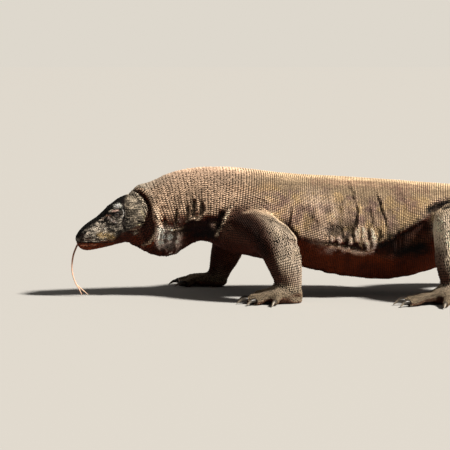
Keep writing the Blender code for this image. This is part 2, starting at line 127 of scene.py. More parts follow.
def keep_value(mesh, name, values):
    """Stores a number or a colour at every vertex, for a material to read."""
    if values.ndim == 2:
        made = mesh.attributes.new(name, "FLOAT_COLOR", "POINT")
        full = np.column_stack([values, np.ones(len(values))])
        made.data.foreach_set("color", full.astype(np.float32).ravel())
    else:
        made = mesh.attributes.new(name, "FLOAT", "POINT")
        made.data.foreach_set("value", values.astype(np.float32))


def solid_of(names, grow):
    """One bmesh of several nodes' shapes, each welded and swollen a little so that they overlap."""
    whole = bmesh.new()
    for name in names:
        first = len(whole.verts)
        whole.from_mesh(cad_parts[name].data)
        whole.verts.ensure_lookup_table()
        bmesh.ops.remove_doubles(whole, verts=whole.verts[first:], dist=WELD)
        whole.verts.ensure_lookup_table()
        whole.normal_update()
        for vert in whole.verts[first:]:
            vert.co += vert.normal * grow
    return whole


def shape_tree(names):
    """The shape of several nodes, ready to be asked for its nearest points."""
    bm = solid_of(names, 0.0)
    tree = BVHTree.FromBMesh(bm)
    bm.free()
    return tree


def nearest(tree, co):
    """The nearest points of a shape, and their distances."""
    found = [tree.find_nearest(Vector(p)) for p in co]
    spots = np.array([hit[0] if hit[0] is not None else (9, 9, 9) for hit in found])
    return spots, np.linalg.norm(spots - co, axis=1)


def smoothed(co, edges, rounds, weight=None, back=-0.53):
    """Evens out a surface without shrinking it, or, with back=0, fills its creases as well."""
    a, b = edges[:, 0], edges[:, 1]
    count = len(co)
    number = np.maximum(np.bincount(a, minlength=count) + np.bincount(b, minlength=count), 1)
    share = np.ones(count) if weight is None else weight
    for _ in range(rounds):
        for pull in (0.5, back) if back else (0.5,):
            moved = np.empty_like(co)
            for axis in range(3):
                total = np.bincount(a, co[b, axis], count) + np.bincount(b, co[a, axis], count)
                moved[:, axis] = total / number
            co = co + (moved - co) * (pull * share)[:, None]
    return co


def ease(value, low, high):
    """0 below low, 1 above high, and smooth between."""
    share = np.clip((value - low) / (high - low), 0, 1)
    return share * share * (3 - 2 * share)


def cast_hide():
    """The flesh as one closed surface of even squares."""
    whole = solid_of(FLESH, OVERLAP)
    fuller = bpy.data.meshes.new("fuller")
    toes = solid_of([leg[2] for leg in LEGS.values()] + ["tail_end"], TOE_SWELL)
    toes.to_mesh(fuller)
    toes.free()
    whole.from_mesh(fuller)
    bpy.data.meshes.remove(fuller)
    for side in SIDES:
        eye = middle(side + "_eye")
        radius = (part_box(side + "_eye")[1].z - eye.z) + LID_ROOM
        made = bmesh.ops.create_icosphere(whole, subdivisions=3, radius=radius)
        bmesh.ops.translate(whole, verts=made["verts"], vec=eye)
    mesh = bpy.data.meshes.new("hide")
    whole.to_mesh(mesh)
    whole.free()
    hide = bpy.data.objects.new("hide", mesh)
    bpy.context.scene.collection.objects.link(hide)
    remesh = hide.modifiers.new("cast", "REMESH")
    remesh.mode = "VOXEL"
    remesh.voxel_size = VOXEL
    bpy.context.view_layer.update()
    graph = bpy.context.evaluated_depsgraph_get()
    cast = bpy.data.meshes.new_from_object(hide.evaluated_get(graph))
    hide.modifiers.clear()
    hide.data = cast
    bpy.data.meshes.remove(mesh)
    return hide


hide = cast_hide()
TREES = {
    "trunk": shape_tree(TRUNK),
    "head": shape_tree(HEAD + ("left_eye", "right_eye")),
    "legs": shape_tree([part for leg in LEGS.values() for part in leg[:2]]),
    "feet": shape_tree([leg[2] for leg in LEGS.values()]),
}
TAIL_TREE = shape_tree(("tail_end",))


def even_out(hide):
    """Rounds the facets off, most on the trunk and least on the toes, and fillets the limbs' roots."""
    co, edges = places(hide.data), edges_of(hide.data)
    gap = {name: nearest(tree, co)[1] for name, tree in TREES.items()}
    trunk = (gap["trunk"] < 0.004) & (gap["head"] > 0.004)
    strength = np.where(trunk, 1.0, 0.7)
    strength[gap["feet"] < 0.004] = 0.3
    co = smoothed(co, edges, 12, strength)
    between_limbs = (gap["trunk"] < 0.022) & (gap["legs"] < 0.022)
    nape = (gap["trunk"] < 0.010) & (gap["head"] < 0.010)
    crease = np.where(between_limbs, 1.0, 0.0) + np.where(nape, 0.4, 0.0)
    crease = smoothed(crease[:, None].repeat(3, 1), edges, 4, back=0)[:, 0]
    co = smoothed(co, edges, 10, np.clip(crease, 0, 1), back=0)
    put(hide.data, co)


def made_finer(hide, wanted):
    """Splits the faces whose every corner is wanted into four."""
    bm = bmesh.new()
    bm.from_mesh(hide.data)
    bm.verts.ensure_lookup_table()
    inside = [face for face in bm.faces if all(wanted[vert.index] for vert in face.verts)]
    edges = list({edge for face in inside for edge in face.edges})
    bmesh.ops.subdivide_edges(bm, edges=edges, cuts=1, use_grid_fill=True)
    bm.to_mesh(hide.data)
    bm.free()


def pulled_onto(hide, tree, reach, share):
    """Brings the finer stretches back onto the solid's own shape."""
    co = places(hide.data)
    spots, away = nearest(tree, co)
    near = (1 - ease(away, reach * 0.6, reach)) * share
    put(hide.data, co + (spots - co) * near[:, None])


def round_tail_end(hide):
    """The last three centimetres of the tail taper to a blunt round point."""
    co = places(hide.data)
    centre = co[co[:, 0] > TAIL_TIP - 0.008].mean(0)
    share = ease(co[:, 0], TAIL_TIP - 0.035, TAIL_TIP + 0.002)[:, None] ** 2
    co[:, 1:] += (centre[1:] - co[:, 1:]) * share * 0.75
    put(hide.data, co)


def in_head(co):
    """Points in the head's own frame."""
    turn = np.array(HEAD_FRAME.inverted())
    return co @ turn[:3, :3].T + turn[:3, 3]


def turned_to_head(ways):
    """Directions in the head's own frame."""
    return ways @ np.array(HEAD_FRAME)[:3, :3]


even_out(hide)
HEAD_REAR = 0.232  # in the head's frame; the nape starts here
NECK_START, FOLDS_END = CHEST_FRONT - 0.225, CHEST_FRONT + 0.680  # where the loose skin hangs in folds
POUCH_END = CHEST_FRONT - 0.085
TAIL_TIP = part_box("tail_end")[1].x
TAIL_FINE = TAIL_TIP - 0.16  # the thin end of the tail
# Head, feet, loose skin and the tail's end are made twice as fine, the face and pouch four times.
for level in range(2):
    co = places(hide.data)
    chosen = nearest(TREES["head"], co)[1] < 0.008
    if level == 0:
        chosen |= nearest(TREES["feet"], co)[1] < 0.006
        chosen |= co[:, 0] > TAIL_FINE
        up = normals_of(hide.data)[:, 2]
        chosen |= (co[:, 0] > NECK_START) & (co[:, 0] < FOLDS_END) & (up > -0.36) & (up < 0.72)
    else:
        chosen &= in_head(co)[:, 0] < HEAD_REAR
        sideways = abs(normals_of(hide.data)[:, 1]) > 0.35
        chosen |= (co[:, 0] > NECK_START) & (co[:, 0] < POUCH_END) & sideways
    made_finer(hide, chosen)
    if level == 0:
        pulled_onto(hide, TREES["feet"], 0.007, 0.8)
        pulled_onto(hide, TREES["head"], 0.007, 0.8)
        pulled_onto(hide, TAIL_TREE, 0.012, places(hide.data)[:, 0] < TAIL_TIP - 0.006)
        round_tail_end(hide)
    co, edges = places(hide.data), edges_of(hide.data)
    head = nearest(TREES["head"], co)[1] < 0.006
    feet = nearest(TREES["feet"], co)[1] < 0.005
    share = np.where(head, 0.9, np.where(feet, 0.5, 0.3))
    put(hide.data, smoothed(co, edges, 9, share))


def bent_line(points, count=48):
    """A smooth line through a few points."""
    rows = np.array(points, float)
    ends = np.vstack([2 * rows[0] - rows[1], rows, 2 * rows[-1] - rows[-2]])
    out = []
    for at in np.linspace(0, len(rows) - 1 - 1e-9, count):
        k = int(at)
        t = at - k
        p0, p1, p2, p3 = ends[k : k + 4]
        out.append(
            0.5 * (2 * p1 + (p2 - p0) * t + (2 * p0 - 5 * p1 + 4 * p2 - p3) * t**2
                   + (3 * p1 - p0 - 3 * p2 + p3) * t**3)
        )
    return np.array(out)


def lengths_along(line):
    """The length of a line up to each of its points."""
    return np.concatenate([[0], np.cumsum(np.linalg.norm(np.diff(line, axis=0), axis=1))])


def from_line(flat, points):
    """For points on a side view: the distance from a line, which side of it, and the share along it."""
    line = bent_line(points)
    gaps = flat[:, None, :] - line[None, :, :]
    away = np.sqrt((gaps**2).sum(2))
    k = away.argmin(1)
    step = np.gradient(line, axis=0)[k]
    gap_there = gaps[np.arange(len(flat)), k]
    turn = step[:, 0] * gap_there[:, 1] - step[:, 1] * gap_there[:, 0]
    return away[np.arange(len(flat)), k], np.sign(turn), k / (len(line) - 1)


def fold(height, flat, facing, wobble, points, width, lift, lip=0.0):
    """Adds a fold along a line: a groove where lift is negative, with a raised lip beside it."""
    rows = np.array(points)
    low, high = rows.min(0) - width * 3, rows.max(0) + width * 3
    near = np.flatnonzero((facing > 0) & (flat > low).all(1) & (flat < high).all(1))
    if not len(near):
        return
    away, side, share = from_line(flat[near] + wobble[near] * width * 0.6, points)
    fade = (np.clip(np.minimum(share, 1 - share) * 5, 0, 1) * 0.8 + 0.2) * facing[near]
    height[near] += lift * np.exp(-((away / width) ** 2)) * fade
    if lip:
        beside = away * side - width * 1.5
        height[near] += lip * np.exp(-((beside / width) ** 2)) * fade


def gully(height, flat, facing, points, widths, depth, roll):
    """Adds a flat-bottomed trough along one side of a line, with a roll of skin behind it."""
    rows = np.array(points)
    reach = max(widths) + 30
    low, high = rows.min(0) - reach, rows.max(0) + reach
    near = np.flatnonzero((facing > 0) & (flat > low).all(1) & (flat < high).all(1))
    away, side, share = from_line(flat[near], points)
    past = away * side
    wide = np.interp(share, np.linspace(0, 1, len(widths)), widths)
    lift = -depth * ease(past, 0, 4.5) * (1 - ease(past, wide - 5, wide + 2))
    lift += roll * np.exp(-(((past - wide - 8) / 9) ** 2))
    height[near] += lift * np.clip(np.minimum(share, 1 - share) * 8, 0, 1) * facing[near]


def overhang(height, flat, facing, points, out, under):
    """Swells the skin above a line and draws it in below, as where loose skin hangs over the belly."""
    away, side, share = from_line(flat, points)
    over = away * side
    ends = np.clip(np.minimum(share, 1 - share) * 10, 0, 1) * facing
    height += out * np.exp(-(((over - 16) / 22) ** 2)) * ends
    height -= under * ease(-over, -1, 6) * (1 - ease(-over, 25, 75)) * ends


# Lines on the trunk and neck are in millimetres back from the chest's front edge and up. Behind the
# cheek: its rear edge, down and forward to the throat, and how far the neck's roll stands off it.
CHEEK_EDGE = ((-228, 304), (-208, 297), (-195, 284), (-184, 268), (-180, 248),
              (-187, 226), (-194, 208), (-206, 196), (-226, 186))
GULLY_WIDTHS = (6, 13, 15, 15, 18, 32, 46, 52, 55)
# Folds on both flanks: a line, then width, lift and the lip beside it.
TRUNK_FOLDS = (
    # the neck's roll behind the cheek, and the upright creases of the neck's side
    (((-162, 262), (-153, 238), (-147, 209), (-147, 170), (-150, 140)), 7, 6, 0),
    (((-132, 225), (-128, 210), (-124, 200)), 6, -10, 0),
    (((-140, 232), (-130, 212), (-118, 200)), 4, 4, 0),
    (((-96, 262), (-94, 235), (-94, 205)), 4.8, -9, 6),
    (((-62, 262), (-60, 240), (-60, 222)), 5, -8, 5),
    (((-44, 280), (-44, 262), (-46, 236)), 4.8, -10, 7),
    (((-24, 280), (-22, 255), (-28, 236)), 6, -6, 4),
    # the pouch: a ridge and a groove above it, then its crumpled skin
    (((-121, 196), (-106, 193), (-88, 196), (-70, 202)), 4.5, 5, 0),
    (((-124, 186), (-106, 184), (-88, 187), (-66, 194)), 4.5, -8, 0),
    (((-148, 200), (-147, 175), (-149, 150)), 4.5, 5, 0),
    (((-141, 195), (-140, 175), (-142, 156)), 4, -8, 0),
    (((-133, 192), (-132, 172), (-134, 158)), 4, 4, 0),
    (((-125, 190), (-125, 172), (-128, 150)), 4, -8, 0),
    (((-117, 188), (-116, 168), (-118, 146)), 4.5, 6, 0),
    (((-98, 186), (-97, 168), (-100, 150)), 5.5, -11, 0),
    (((-87, 190), (-85, 170), (-88, 148)), 4.5, 8, 0),
    (((-138, 165), (-118, 158), (-96, 162)), 5, -6, 4),
    (((-128, 140), (-112, 134), (-96, 142)), 6, -9, 0),
    # the hollow before the arm, with knots of skin in it and a long fold behind
    (((-76, 216), (-45, 210), (-10, 212), (30, 222)), 15, -11, 0),
    (((-60, 186), (-25, 186), (10, 188)), 15, -8, 0),
    (((-64, 222), (-50, 231), (-36, 226), (-22, 236)), 4.5, 9, 0),
    (((-70, 208), (-50, 214), (-30, 206)), 4, 6, 0),
    (((4, 222), (-3, 214), (-10, 203)), 4, 7, 0),
    (((7, 211), (10, 207), (13, 203)), 9, 13, 0),
    (((44, 254), (30, 226), (20, 198)), 10, -15, 0),
    (((62, 262), (46, 234), (31, 204), (19, 177)), 4.2, 12, 0),
    # the flank's upright creases, sharp ones first
    (((232, 270), (231, 246), (227, 218)), 4, -5, 4),
    (((418, 276), (423, 246), (418, 208)), 3.8, -6, 5),
    (((400, 325), (408, 300), (413, 282)), 5.5, -4, 4),
    (((470, 312), (487, 279), (492, 258), (502, 227), (506, 206)), 3.8, -7, 5),
    (((453, 270), (461, 240), (468, 210)), 5, -2, 3),
    (((330, 300), (334, 270), (336, 240)), 9, -1.5, 2),
    (((365, 290), (372, 255), (376, 220)), 9, -1.5, 2),
    (((290, 250), (300, 225), (310, 200)), 9, -1.5, 2),
    (((545, 300), (556, 270), (560, 240)), 9, -1.5, 2),
    # the lumps low on the flank and the ragged flap under them
    (((412, 203), (407, 190), (412, 172)), 4.5, -5, 4),
    (((450, 205), (455, 186), (452, 165)), 4.5, -5, 4),
    (((484, 200), (486, 180), (478, 164)), 4.5, -5, 4),
    (((300, 166), (360, 157), (400, 150), (440, 142)), 4, -7, 0),
    (((345, 150), (378, 142), (410, 134), (440, 130), (462, 138)), 7.5, 8, 0),
    (((366, 170), (361, 146)), 4, -6, 4),
    (((392, 166), (389, 140)), 4, -6, 4),
    (((419, 160), (416, 132)), 4, -6, 4),
    (((441, 158), (445, 130)), 4, -6, 4),
    # the crease over the thigh
    (((622, 252), (640, 262), (665, 273), (700, 280), (740, 282)), 8.5, -15, 4),
)
# The low edge of the loose flank skin, which runs back along the belly and up to the thigh.
FLANK_EDGE = ((205, 190), (240, 176), (290, 160), (350, 152), (395, 145),
              (440, 137), (472, 143), (505, 162), (550, 192), (602, 222), (640, 256))
# Folds of the left shoulder and the skin behind the arm, whose pose the right arm doesn't share.
ARM_FOLDS = (
    (((80, 272), (110, 284), (142, 284), (166, 270), (180, 248)), 4, -1.6, 3),
    (((86, 262), (112, 272), (140, 271), (160, 259), (172, 242)), 4, -1.6, 3),
    (((94, 252), (116, 260), (138, 259), (155, 249)), 4, -1.4, 2.5),
    (((174, 235), (167, 221)), 5, -4, 0),
    (((135, 249), (174, 237), (207, 223), (233, 197), (250, 160)), 7, -5, 0),
)


def noise(co, size, seed):
    """Soft random values from -1 to 1 that change over a given size."""
    grid = np.asarray(co) / np.asarray(size) + seed * 17.3
    base = np.floor(grid).astype(np.int64)
    part = grid - base
    part = part * part * (3 - 2 * part)
    total = np.zeros(len(grid))
    for i in (0, 1):
        for j in (0, 1):
            for k in (0, 1):
                mixed = (base[:, 0] + i) * 73856093 ^ (base[:, 1] + j) * 19349663
                mixed = mixed ^ (base[:, 2] + k) * 83492791
                mixed = (mixed ^ (mixed >> 13)) * 1274126177
                value = ((mixed ^ (mixed >> 16)) & 0xFFFF) / 32767.5 - 1
                x = part[:, 0] if i else 1 - part[:, 0]
                y = part[:, 1] if j else 1 - part[:, 1]
                z = part[:, 2] if k else 1 - part[:, 2]
                total += value * x * y * z
    return total


def side_view(co):
    """Places as the trunk's lines have them: millimetres back from the chest's front edge and up."""
    return np.stack([co[:, 0] - CHEST_FRONT, co[:, 2]], 1) * 1000


def crumpled(co, normals):
    """From 0 to 1, how crumpled the bare-looking skin is: throat pouch, side fold and low flank."""
    back, up = side_view(co).T
    pouch = ease(back, -162, -140) * (1 - ease(back, -90, -50)) * (1 - ease(up, 170, 210))
    lumps = ease(back, 300, 360) * (1 - ease(back, 470, 510))
    lumps *= ease(up, 120, 135) * (1 - ease(up, 195, 225))
    side_fold = ease(back, -100, -80) * (1 - ease(back, 0, 30))
    side_fold *= ease(up, 165, 180) * 0.8 * (1 - ease(up, 222, 236))
    return np.maximum.reduce([pouch, lumps, side_fold]) * (1 - ease(abs(normals[:, 2]), 0.5, 0.9))


def crumple(co, normals):
    """The loose skin's many small upright wrinkles: strong on throat and flank, none on the back."""
    back = side_view(co)[:, 0]
    creases = 1 - abs(noise(co, (0.016, 0.05, 0.055), 3)) * 2.2
    creases += 0.6 * (1 - abs(noise(co, (0.030, 0.06, 0.085), 4)) * 2.2)
    flank = 1 - ease(abs(back - 420), 100, 300)
    throat = 1 - ease(back, -80, 50)
    loose = (1 - ease(normals[:, 2], 0.30, 0.80)) * (0.35 + 0.65 * flank + 0.8 * throat)
    loose *= 1 - ease(back, 750, 950) * 0.8
    fine = 1 - abs(noise(co, (0.010, 0.04, 0.030), 5)) * 2.4
    rough = np.clip(fine, 0, 1) * crumpled(co, normals)
    return -2.5 * np.clip(creases, 0, 2) * loose - 5.0 * rough


def fold_trunk(hide):
    """Folds the skin of neck, trunk and tail and sets it in by the coat's depth."""
    co, normals = places(hide.data), normals_of(hide.data)
    flat = side_view(co)
    on_trunk = nearest(TREES["head"], co)[1] > 0.004
    height, loose = np.zeros(len(co)), np.zeros(len(co))
    wobble = np.stack([noise(co, 0.022, 11), noise(co, 0.022, 12)], 1)
    for side in (-1, 1):
        facing = ease(normals[:, 1] * side, 0.0, 0.35)
        for line in TRUNK_FOLDS:
            fold(height, flat, on_trunk * facing, wobble, *line)
        gully(loose, flat, facing, CHEEK_EDGE, GULLY_WIDTHS, 12, 4)
        overhang(loose, flat + wobble * 3.5, facing * on_trunk, FLANK_EDGE, 7, 9)
    facing = on_trunk * ease(-normals[:, 1], 0.0, 0.35)
    for line in ARM_FOLDS:
        fold(height, flat, facing, wobble, *line)
    height += crumple(co, normals) * on_trunk
    moved = co + normals * ((height + loose) / 1000 - COAT_DEPTH)[:, None]
    moved[:, 2] = np.maximum(moved[:, 2], SOLE_HEIGHT)
    put(hide.data, moved)
    # The relief kept here sets the painted light and shade of the folds; it is raised on the crumpled skin,
    # which is thus painted paler.
    keep_value(hide.data, "relief", height + 2.4 * crumpled(co, normals) * on_trunk)


fold_trunk(hide)

# Folds of the head, in millimetres back from the lips and up, then width and lift.
HEAD_FOLDS = (
    (((112, 46), (122, 52), (136, 55), (150, 53.5), (159, 44)), 4.0, 3.8),  # brow
    (((116, 41), (124, 46.5), (137, 48.5), (150, 46), (156, 38)), 1.6, -1.8),  # under the brow
    (((118, 36), (127, 41.5), (138, 42.5), (147, 38), (149, 31)), 1.8, 0.9),  # upper lid
    (((112, 37), (117, 27), (127, 18), (140, 15.5), (151, 20)), 3.0, 1.6),  # bag under the eye
    (((118, 33), (122, 26), (130, 21.5), (141, 21)), 1.3, -1.2),  # between bag and lower lid
    (((161, 45), (158, 30), (150, 17), (138, 8)), 3.4, -2.4),  # behind the socket
    (((50, 33), (81, 38.5), (110, 48)), 6.0, 1.6),  # edge between the snout's top and side
    (((104, 36), (94, 30), (80, 27)), 4.0, -1.6),  # hollow before the eye
    (((166, 60), (164, 34), (152, 10), (140, -6), (134, -16)), 5.0, -2.6),  # before the jaw muscle
    (((186, -37), (164, -33), (146, -27)), 5.0, -2.2),  # under the jaw muscle
    (((152, -6), (168, -12), (184, -18)), 3.0, -1.6),
)
MOUTH_LINE = ((-3, 1), (8, -3.5), (26, -11), (45, -18.5), (65, -27), (84, -34), (100, -35),
              (117, -27), (131, -17))
EAR = ((183, -9), (192, -14), (199, -20))
EAR_LOWER = ((188, -19), (194, -24), (200, -28))
NOSTRIL = ((27.5, 16.5), (34, 20))
OPENINGS = (
    (MOUTH_LINE, 1.25, -2.6),
    ([(back, up + 4.2) for back, up in MOUTH_LINE], 2.6, 0.9),  # upper lip
    ([(back, up - 4.0) for back, up in MOUTH_LINE[:-1]], 2.6, 0.9),  # lower lip
    (NOSTRIL, 5.6, 1.1),  # its rim
    (NOSTRIL, 2.4, -5.6),
    (EAR, 6.5, 1.8),  # its rim
    (EAR, 2.4, -7.5),
    (EAR_LOWER, 2.0, -4.5),
)
EYE_HALF = (7.0, 4.7)  # the opening between the lids, half its length and height
EYE_TILT = math.radians(-14)
EYE_SET_IN = 1.6  # the glass eye sits this much deeper than its rough solid
LID_THICK = 1.3  # how far the lids stand off the eyeball
PIT_DEEP = 5.5  # how far the hide goes back behind the eyeball's front


def eye_at(side):
    """The eyeball's centre in the head's frame and its radius, in millimetres."""
    low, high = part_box(side + "_eye")
    centre = HEAD_FRAME.inverted() @ ((low + high) / 2) * 1000
    centre.y -= SIDES[side] * EYE_SET_IN
    return centre, (high.z - low.z) * 500


def in_almond(flat, centre):
    """0 at the middle of the opening between the lids, 1 at its edge."""
    gap = flat - np.array((centre.x, centre.z))
    turn, lean = math.cos(EYE_TILT), math.sin(EYE_TILT)
    back = gap[:, 0] * turn + gap[:, 1] * lean
    up = gap[:, 1] * turn - gap[:, 0] * lean
    narrow = EYE_HALF[1] * np.sqrt(np.clip(1 - (back / (EYE_HALF[0] * 1.35)) ** 2, 0.05, 1))
    return np.hypot(back / EYE_HALF[0], up / narrow)


def make_face_finer(hide):
    """The hide round mouth, eyes, nostrils and ears is made finer once more, and evened out."""
    co = places(hide.data)
    flat = in_head(co)[:, ::2] * 1000
    centre = eye_at("left")[0]
    close = (from_line(flat, MOUTH_LINE)[0] < 4.5) & (in_head(co)[:, 0] < 0.14)
    close |= np.hypot(flat[:, 0] - centre.x, flat[:, 1] - centre.z) < 15
    close |= from_line(flat, NOSTRIL)[0] < 7
    close |= (from_line(flat, EAR)[0] < 9) & (in_head(co)[:, 0] > 0.16)
    close &= nearest(TREES["head"], co)[1] < 0.006
    close &= abs(turned_to_head(normals_of(hide.data))[:, 1]) > 0.3
    made_finer(hide, close)
    co = places(hide.data)
    put(hide.data, smoothed(co, edges_of(hide.data), 2, np.full(len(co), 0.5)))


def carve_head(hide):
    """Lips, nostrils, ears, brows and the pits for the eyes, the same on both sides."""
    co, normals = places(hide.data), normals_of(hide.data)
    on_head = nearest(TREES["head"], co)[1] < 0.012
    there = in_head(co) * 1000
    flat = there[:, ::2]
    out = np.array(HEAD_FRAME)[:3, 1]
    for side, sign in SIDES.items():
        facing = ease(turned_to_head(normals)[:, 1] * sign, 0.02, 0.40) * on_head
        height = np.zeros(len(co))
        wobble = np.stack([noise(co, 0.012, 13), noise(co, 0.012, 14)], 1)
        still = np.zeros((len(co), 2))
        for line in HEAD_FOLDS:
            fold(height, flat, facing, wobble, *line)
        for line in OPENINGS:
            fold(height, flat, facing, still, *line)
        put_out = normals * height[:, None] / 1000
        eye, radius = eye_at(side)
        away = np.hypot(flat[:, 0] - eye.x, flat[:, 1] - eye.z)
        ball = eye.y * sign + np.sqrt(np.clip((radius + LID_THICK) ** 2 - away**2, 0, None))
        lateral = there[:, 1] * sign
        lid = (facing > 0.2) & (away < radius + 1.0)
        raised = np.where(lid, np.maximum(ball - lateral, 0), 0)
        put_out += raised[:, None] * out * sign / 1000
        pit = (facing > 0.2) & (in_almond(flat, eye) < 1.0)
        deep = eye.y * sign + np.sqrt(np.clip(radius**2 - away**2, 0, None)) - PIT_DEEP
        put_out[pit] = ((deep - lateral)[:, None] * out * sign / 1000)[pit]
        co = co + put_out
    put(hide.data, co)


make_face_finer(hide)
carve_head(hide)
hide.data.polygons.foreach_set("use_smooth", [True] * len(hide.data.polygons))
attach(hide, "root")
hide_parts(*FLESH)

# ---------------------------------------------------------------- the scales
# Each scale of a dragon is a bead of horn over a bony core. They stand in rows square to the body,
# alternate rows set half a bead over, largest on neck and back and finest on face and feet. Each
# is cast as a closed low dome of six sides and set with its foot just under the hide.
CHANCE = np.random.default_rng(7)
# Spacing of the beads at places back from the chest's front edge: between rows and along a row.
TRUNK_STEPS = ((-0.2, 0.0078, 0.0060), (0.05, 0.0074, 0.0058), (0.20, 0.0060, 0.0049),
               (0.34, 0.0052, 0.0044), (0.58, 0.0055, 0.0046), (0.74, 0.0063, 0.0050),
               (1.6, 0.0062, 0.0050), (1.94, 0.0038, 0.0032))
LEG_STEPS = ((0.35, 0.0060, 0.0054), (0.45, 0.0070, 0.0060))
FILL_STEP = {"trunk": 0.0060, "legs": 0.0056, "head": 0.0030, "feet": 0.0038}
PLUMP = 1.16  # scattered beads are this much wider than their spacing and so grow into each other
INTERLOCK = 1.2  # a bead's tips reach between the beads of the next row
BEAD_HEIGHT = 0.50  # of a bead's width
BEAD_SUNK = 0.0006  # how far a bead's foot lies under the hide
ROOM = 0.43  # of a bead's width: each keeps the others' middles this far from its own, as they do
TRIES = 5  # scattered beads tried for each one that there is room for
CORE_POINTS = 400  # along a smooth core
UP = Vector((0.02, 0.01, 1))  # a hair off upright, so that no line of sight runs along an edge
CELL = 0.008  # wider than any bead, so that a bead can touch only those in the cells around its own
AROUND = list(itertools.product((-1, 0, 1), repeat=3))
STRETCHES = {"neck": ("neck",), "chest": ("chest",), "belly": ("belly",), "rump": ("tail_root",),
             "tail": ("tail_middle", "tail_end"), "head": HEAD, **LEGS}


def ring_ways(along, count, up):
    """Directions square to a line, starting at the top and going round by the right side."""
    top = (up - along * up.dot(along)).normalized()
    side = along.cross(top)
    turns = [2 * math.pi * k / count for k in range(count)]
    return [top * math.cos(turn) + side * math.sin(turn) for turn in turns]


def ring_around(tree, centre, ways, reach):
    """Where lines of sight from all round first meet a shape."""
    hits = [tree.ray_cast(centre + way * reach, -way, reach)[0] for way in ways]
    return [hit if hit is not None else centre for hit in hits]


def core_line(tree, guess, rounds=4):
    """Moves each point of a guessed line to the middle of the shape's cross-section there."""
    line = [Vector(p) for p in guess]
    for _ in range(rounds):
        moved = []
        for k, point in enumerate(line):
            along = (line[min(k + 1, len(line) - 1)] - line[max(k - 1, 0)]).normalized()
            hits = ring_around(tree, point, ring_ways(along, 16, UP), 0.35)
            moved.append(sum(hits, Vector()) / len(hits))
        even = [(moved[k - 1] + moved[k] * 2 + moved[k + 1]) / 4 for k in range(1, len(moved) - 1)]
        line = [moved[0], *even, moved[-1]]
    return line


def trunk_core():
    """The middle line of neck, trunk and tail, front to back."""
    guess = []
    for name in TRUNK:
        low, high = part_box(name)
        co = places(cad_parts[name].data)
        for x in np.linspace(low.x + 0.004, high.x - 0.004, max(3, int((high.x - low.x) / 0.06))):
            near = co[abs(co[:, 0] - x) < 0.06]
            guess.append((x, near[:, 1].mean(), near[:, 2].mean()))
    return core_line(TREES["trunk"], guess)


def meeting(one, other, reach):
    """The middle of the part of one node that comes close to another."""
    co = places(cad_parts[one].data)
    away = nearest(shape_tree((other,)), co)[1]
    return Vector(co[away < max(reach, away.min() + 0.002)].mean(0))


def leg_core(upper, lower, foot):
    """The middle line of a leg, from the trunk to the ankle."""
    upper_co, lower_co = (places(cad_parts[name].data) for name in (upper, lower))
    root = upper_co[nearest(TREES["trunk"], upper_co)[1] < 0.003].mean(0)
    knee = meeting(upper, lower, 0.002)
    ankle = meeting(lower, foot, 0.004)
    return [root, upper_co.mean(0) * 0.5 + (root + np.array(knee)) * 0.25, knee, lower_co.mean(0), ankle]


def along_core(line):
    """A smooth core as many points, with the length up to each."""
    points = bent_line(line, CORE_POINTS)
    return points, lengths_along(points)


def rows_on(tree, line, steps, up, reach, sides=48, window=0.05):
    """Beads in rows square to a core: each one's place, way along, length, width and way out."""
    points, length = along_core(line)
    rings, middles, row_steps, at = [], [], [], steps[0][1] / 2
    table = np.array(steps)
    while at < length[-1]:
        centre, ahead, behind = (
            Vector([np.interp(at + shift, length, points[:, k]) for k in range(3)])
            for shift in (0.0, window, -window)
        )
        ways = ring_ways((ahead - behind).normalized(), sides, up)
        rings.append(np.array(ring_around(tree, centre, ways, reach)))
        middles.append(np.array(centre))
        row_steps.append([np.interp(centre.x - CHEST_FRONT, table[:, 0], table[:, k]) for k in (1, 2)])
        at += row_steps[-1][0]
    spots = []
    for number, ring in enumerate(rings):
        after, before = rings[min(number + 1, len(rings) - 1)], rings[max(number - 1, 0)]
        along = (after - before) / (2 if 0 < number < len(rings) - 1 else 1)
        ring = np.vstack([ring, ring[:1]])
        along = np.vstack([along, along[:1]])
        arc = lengths_along(ring)
        bead_step = row_steps[number][1]
        stagger = 0.5 * (number % 2)
        count = int(arc[-1] / 2 / bead_step - stagger)
        near = (np.arange(count + 1) + stagger) * bead_step
        ways = np.concatenate([near, arc[-1] - near[near > 0]])
        place = np.stack([np.interp(ways, arc, ring[:, k]) for k in range(3)], 1)
        lie = np.stack([np.interp(ways, arc, along[:, k]) for k in range(3)], 1)
        spread = np.linalg.norm(lie, axis=1)
        fits = spread > row_steps[number][0] * 0.45
        long_by = np.minimum(spread, row_steps[number][0] * 1.3) * INTERLOCK
        wide_by = np.full(len(ways), bead_step)
        rows = np.column_stack([place, lie, long_by, wide_by, place - middles[number]])
        spots.append(rows[fits])
    return np.vstack(spots)


HIDE_TREE = BVHTree.FromPolygons([v.co[:] for v in hide.data.vertices],
                                 [p.vertices[:] for p in hide.data.polygons])
HIDE_CO, HIDE_NORMALS = places(hide.data), normals_of(hide.data)
HIDE_FACES = [tuple(p.vertices) for p in hide.data.polygons]


def smooth_normal(place, face):
    """The hide's normal at a place, evened out between the corners of its face."""
    corners = list(HIDE_FACES[face])
    away = np.linalg.norm(HIDE_CO[corners] - np.array(place), axis=1) + 0.0004
    normal = (HIDE_NORMALS[corners] / away[:, None]).sum(0)
    return normal / np.linalg.norm(normal)


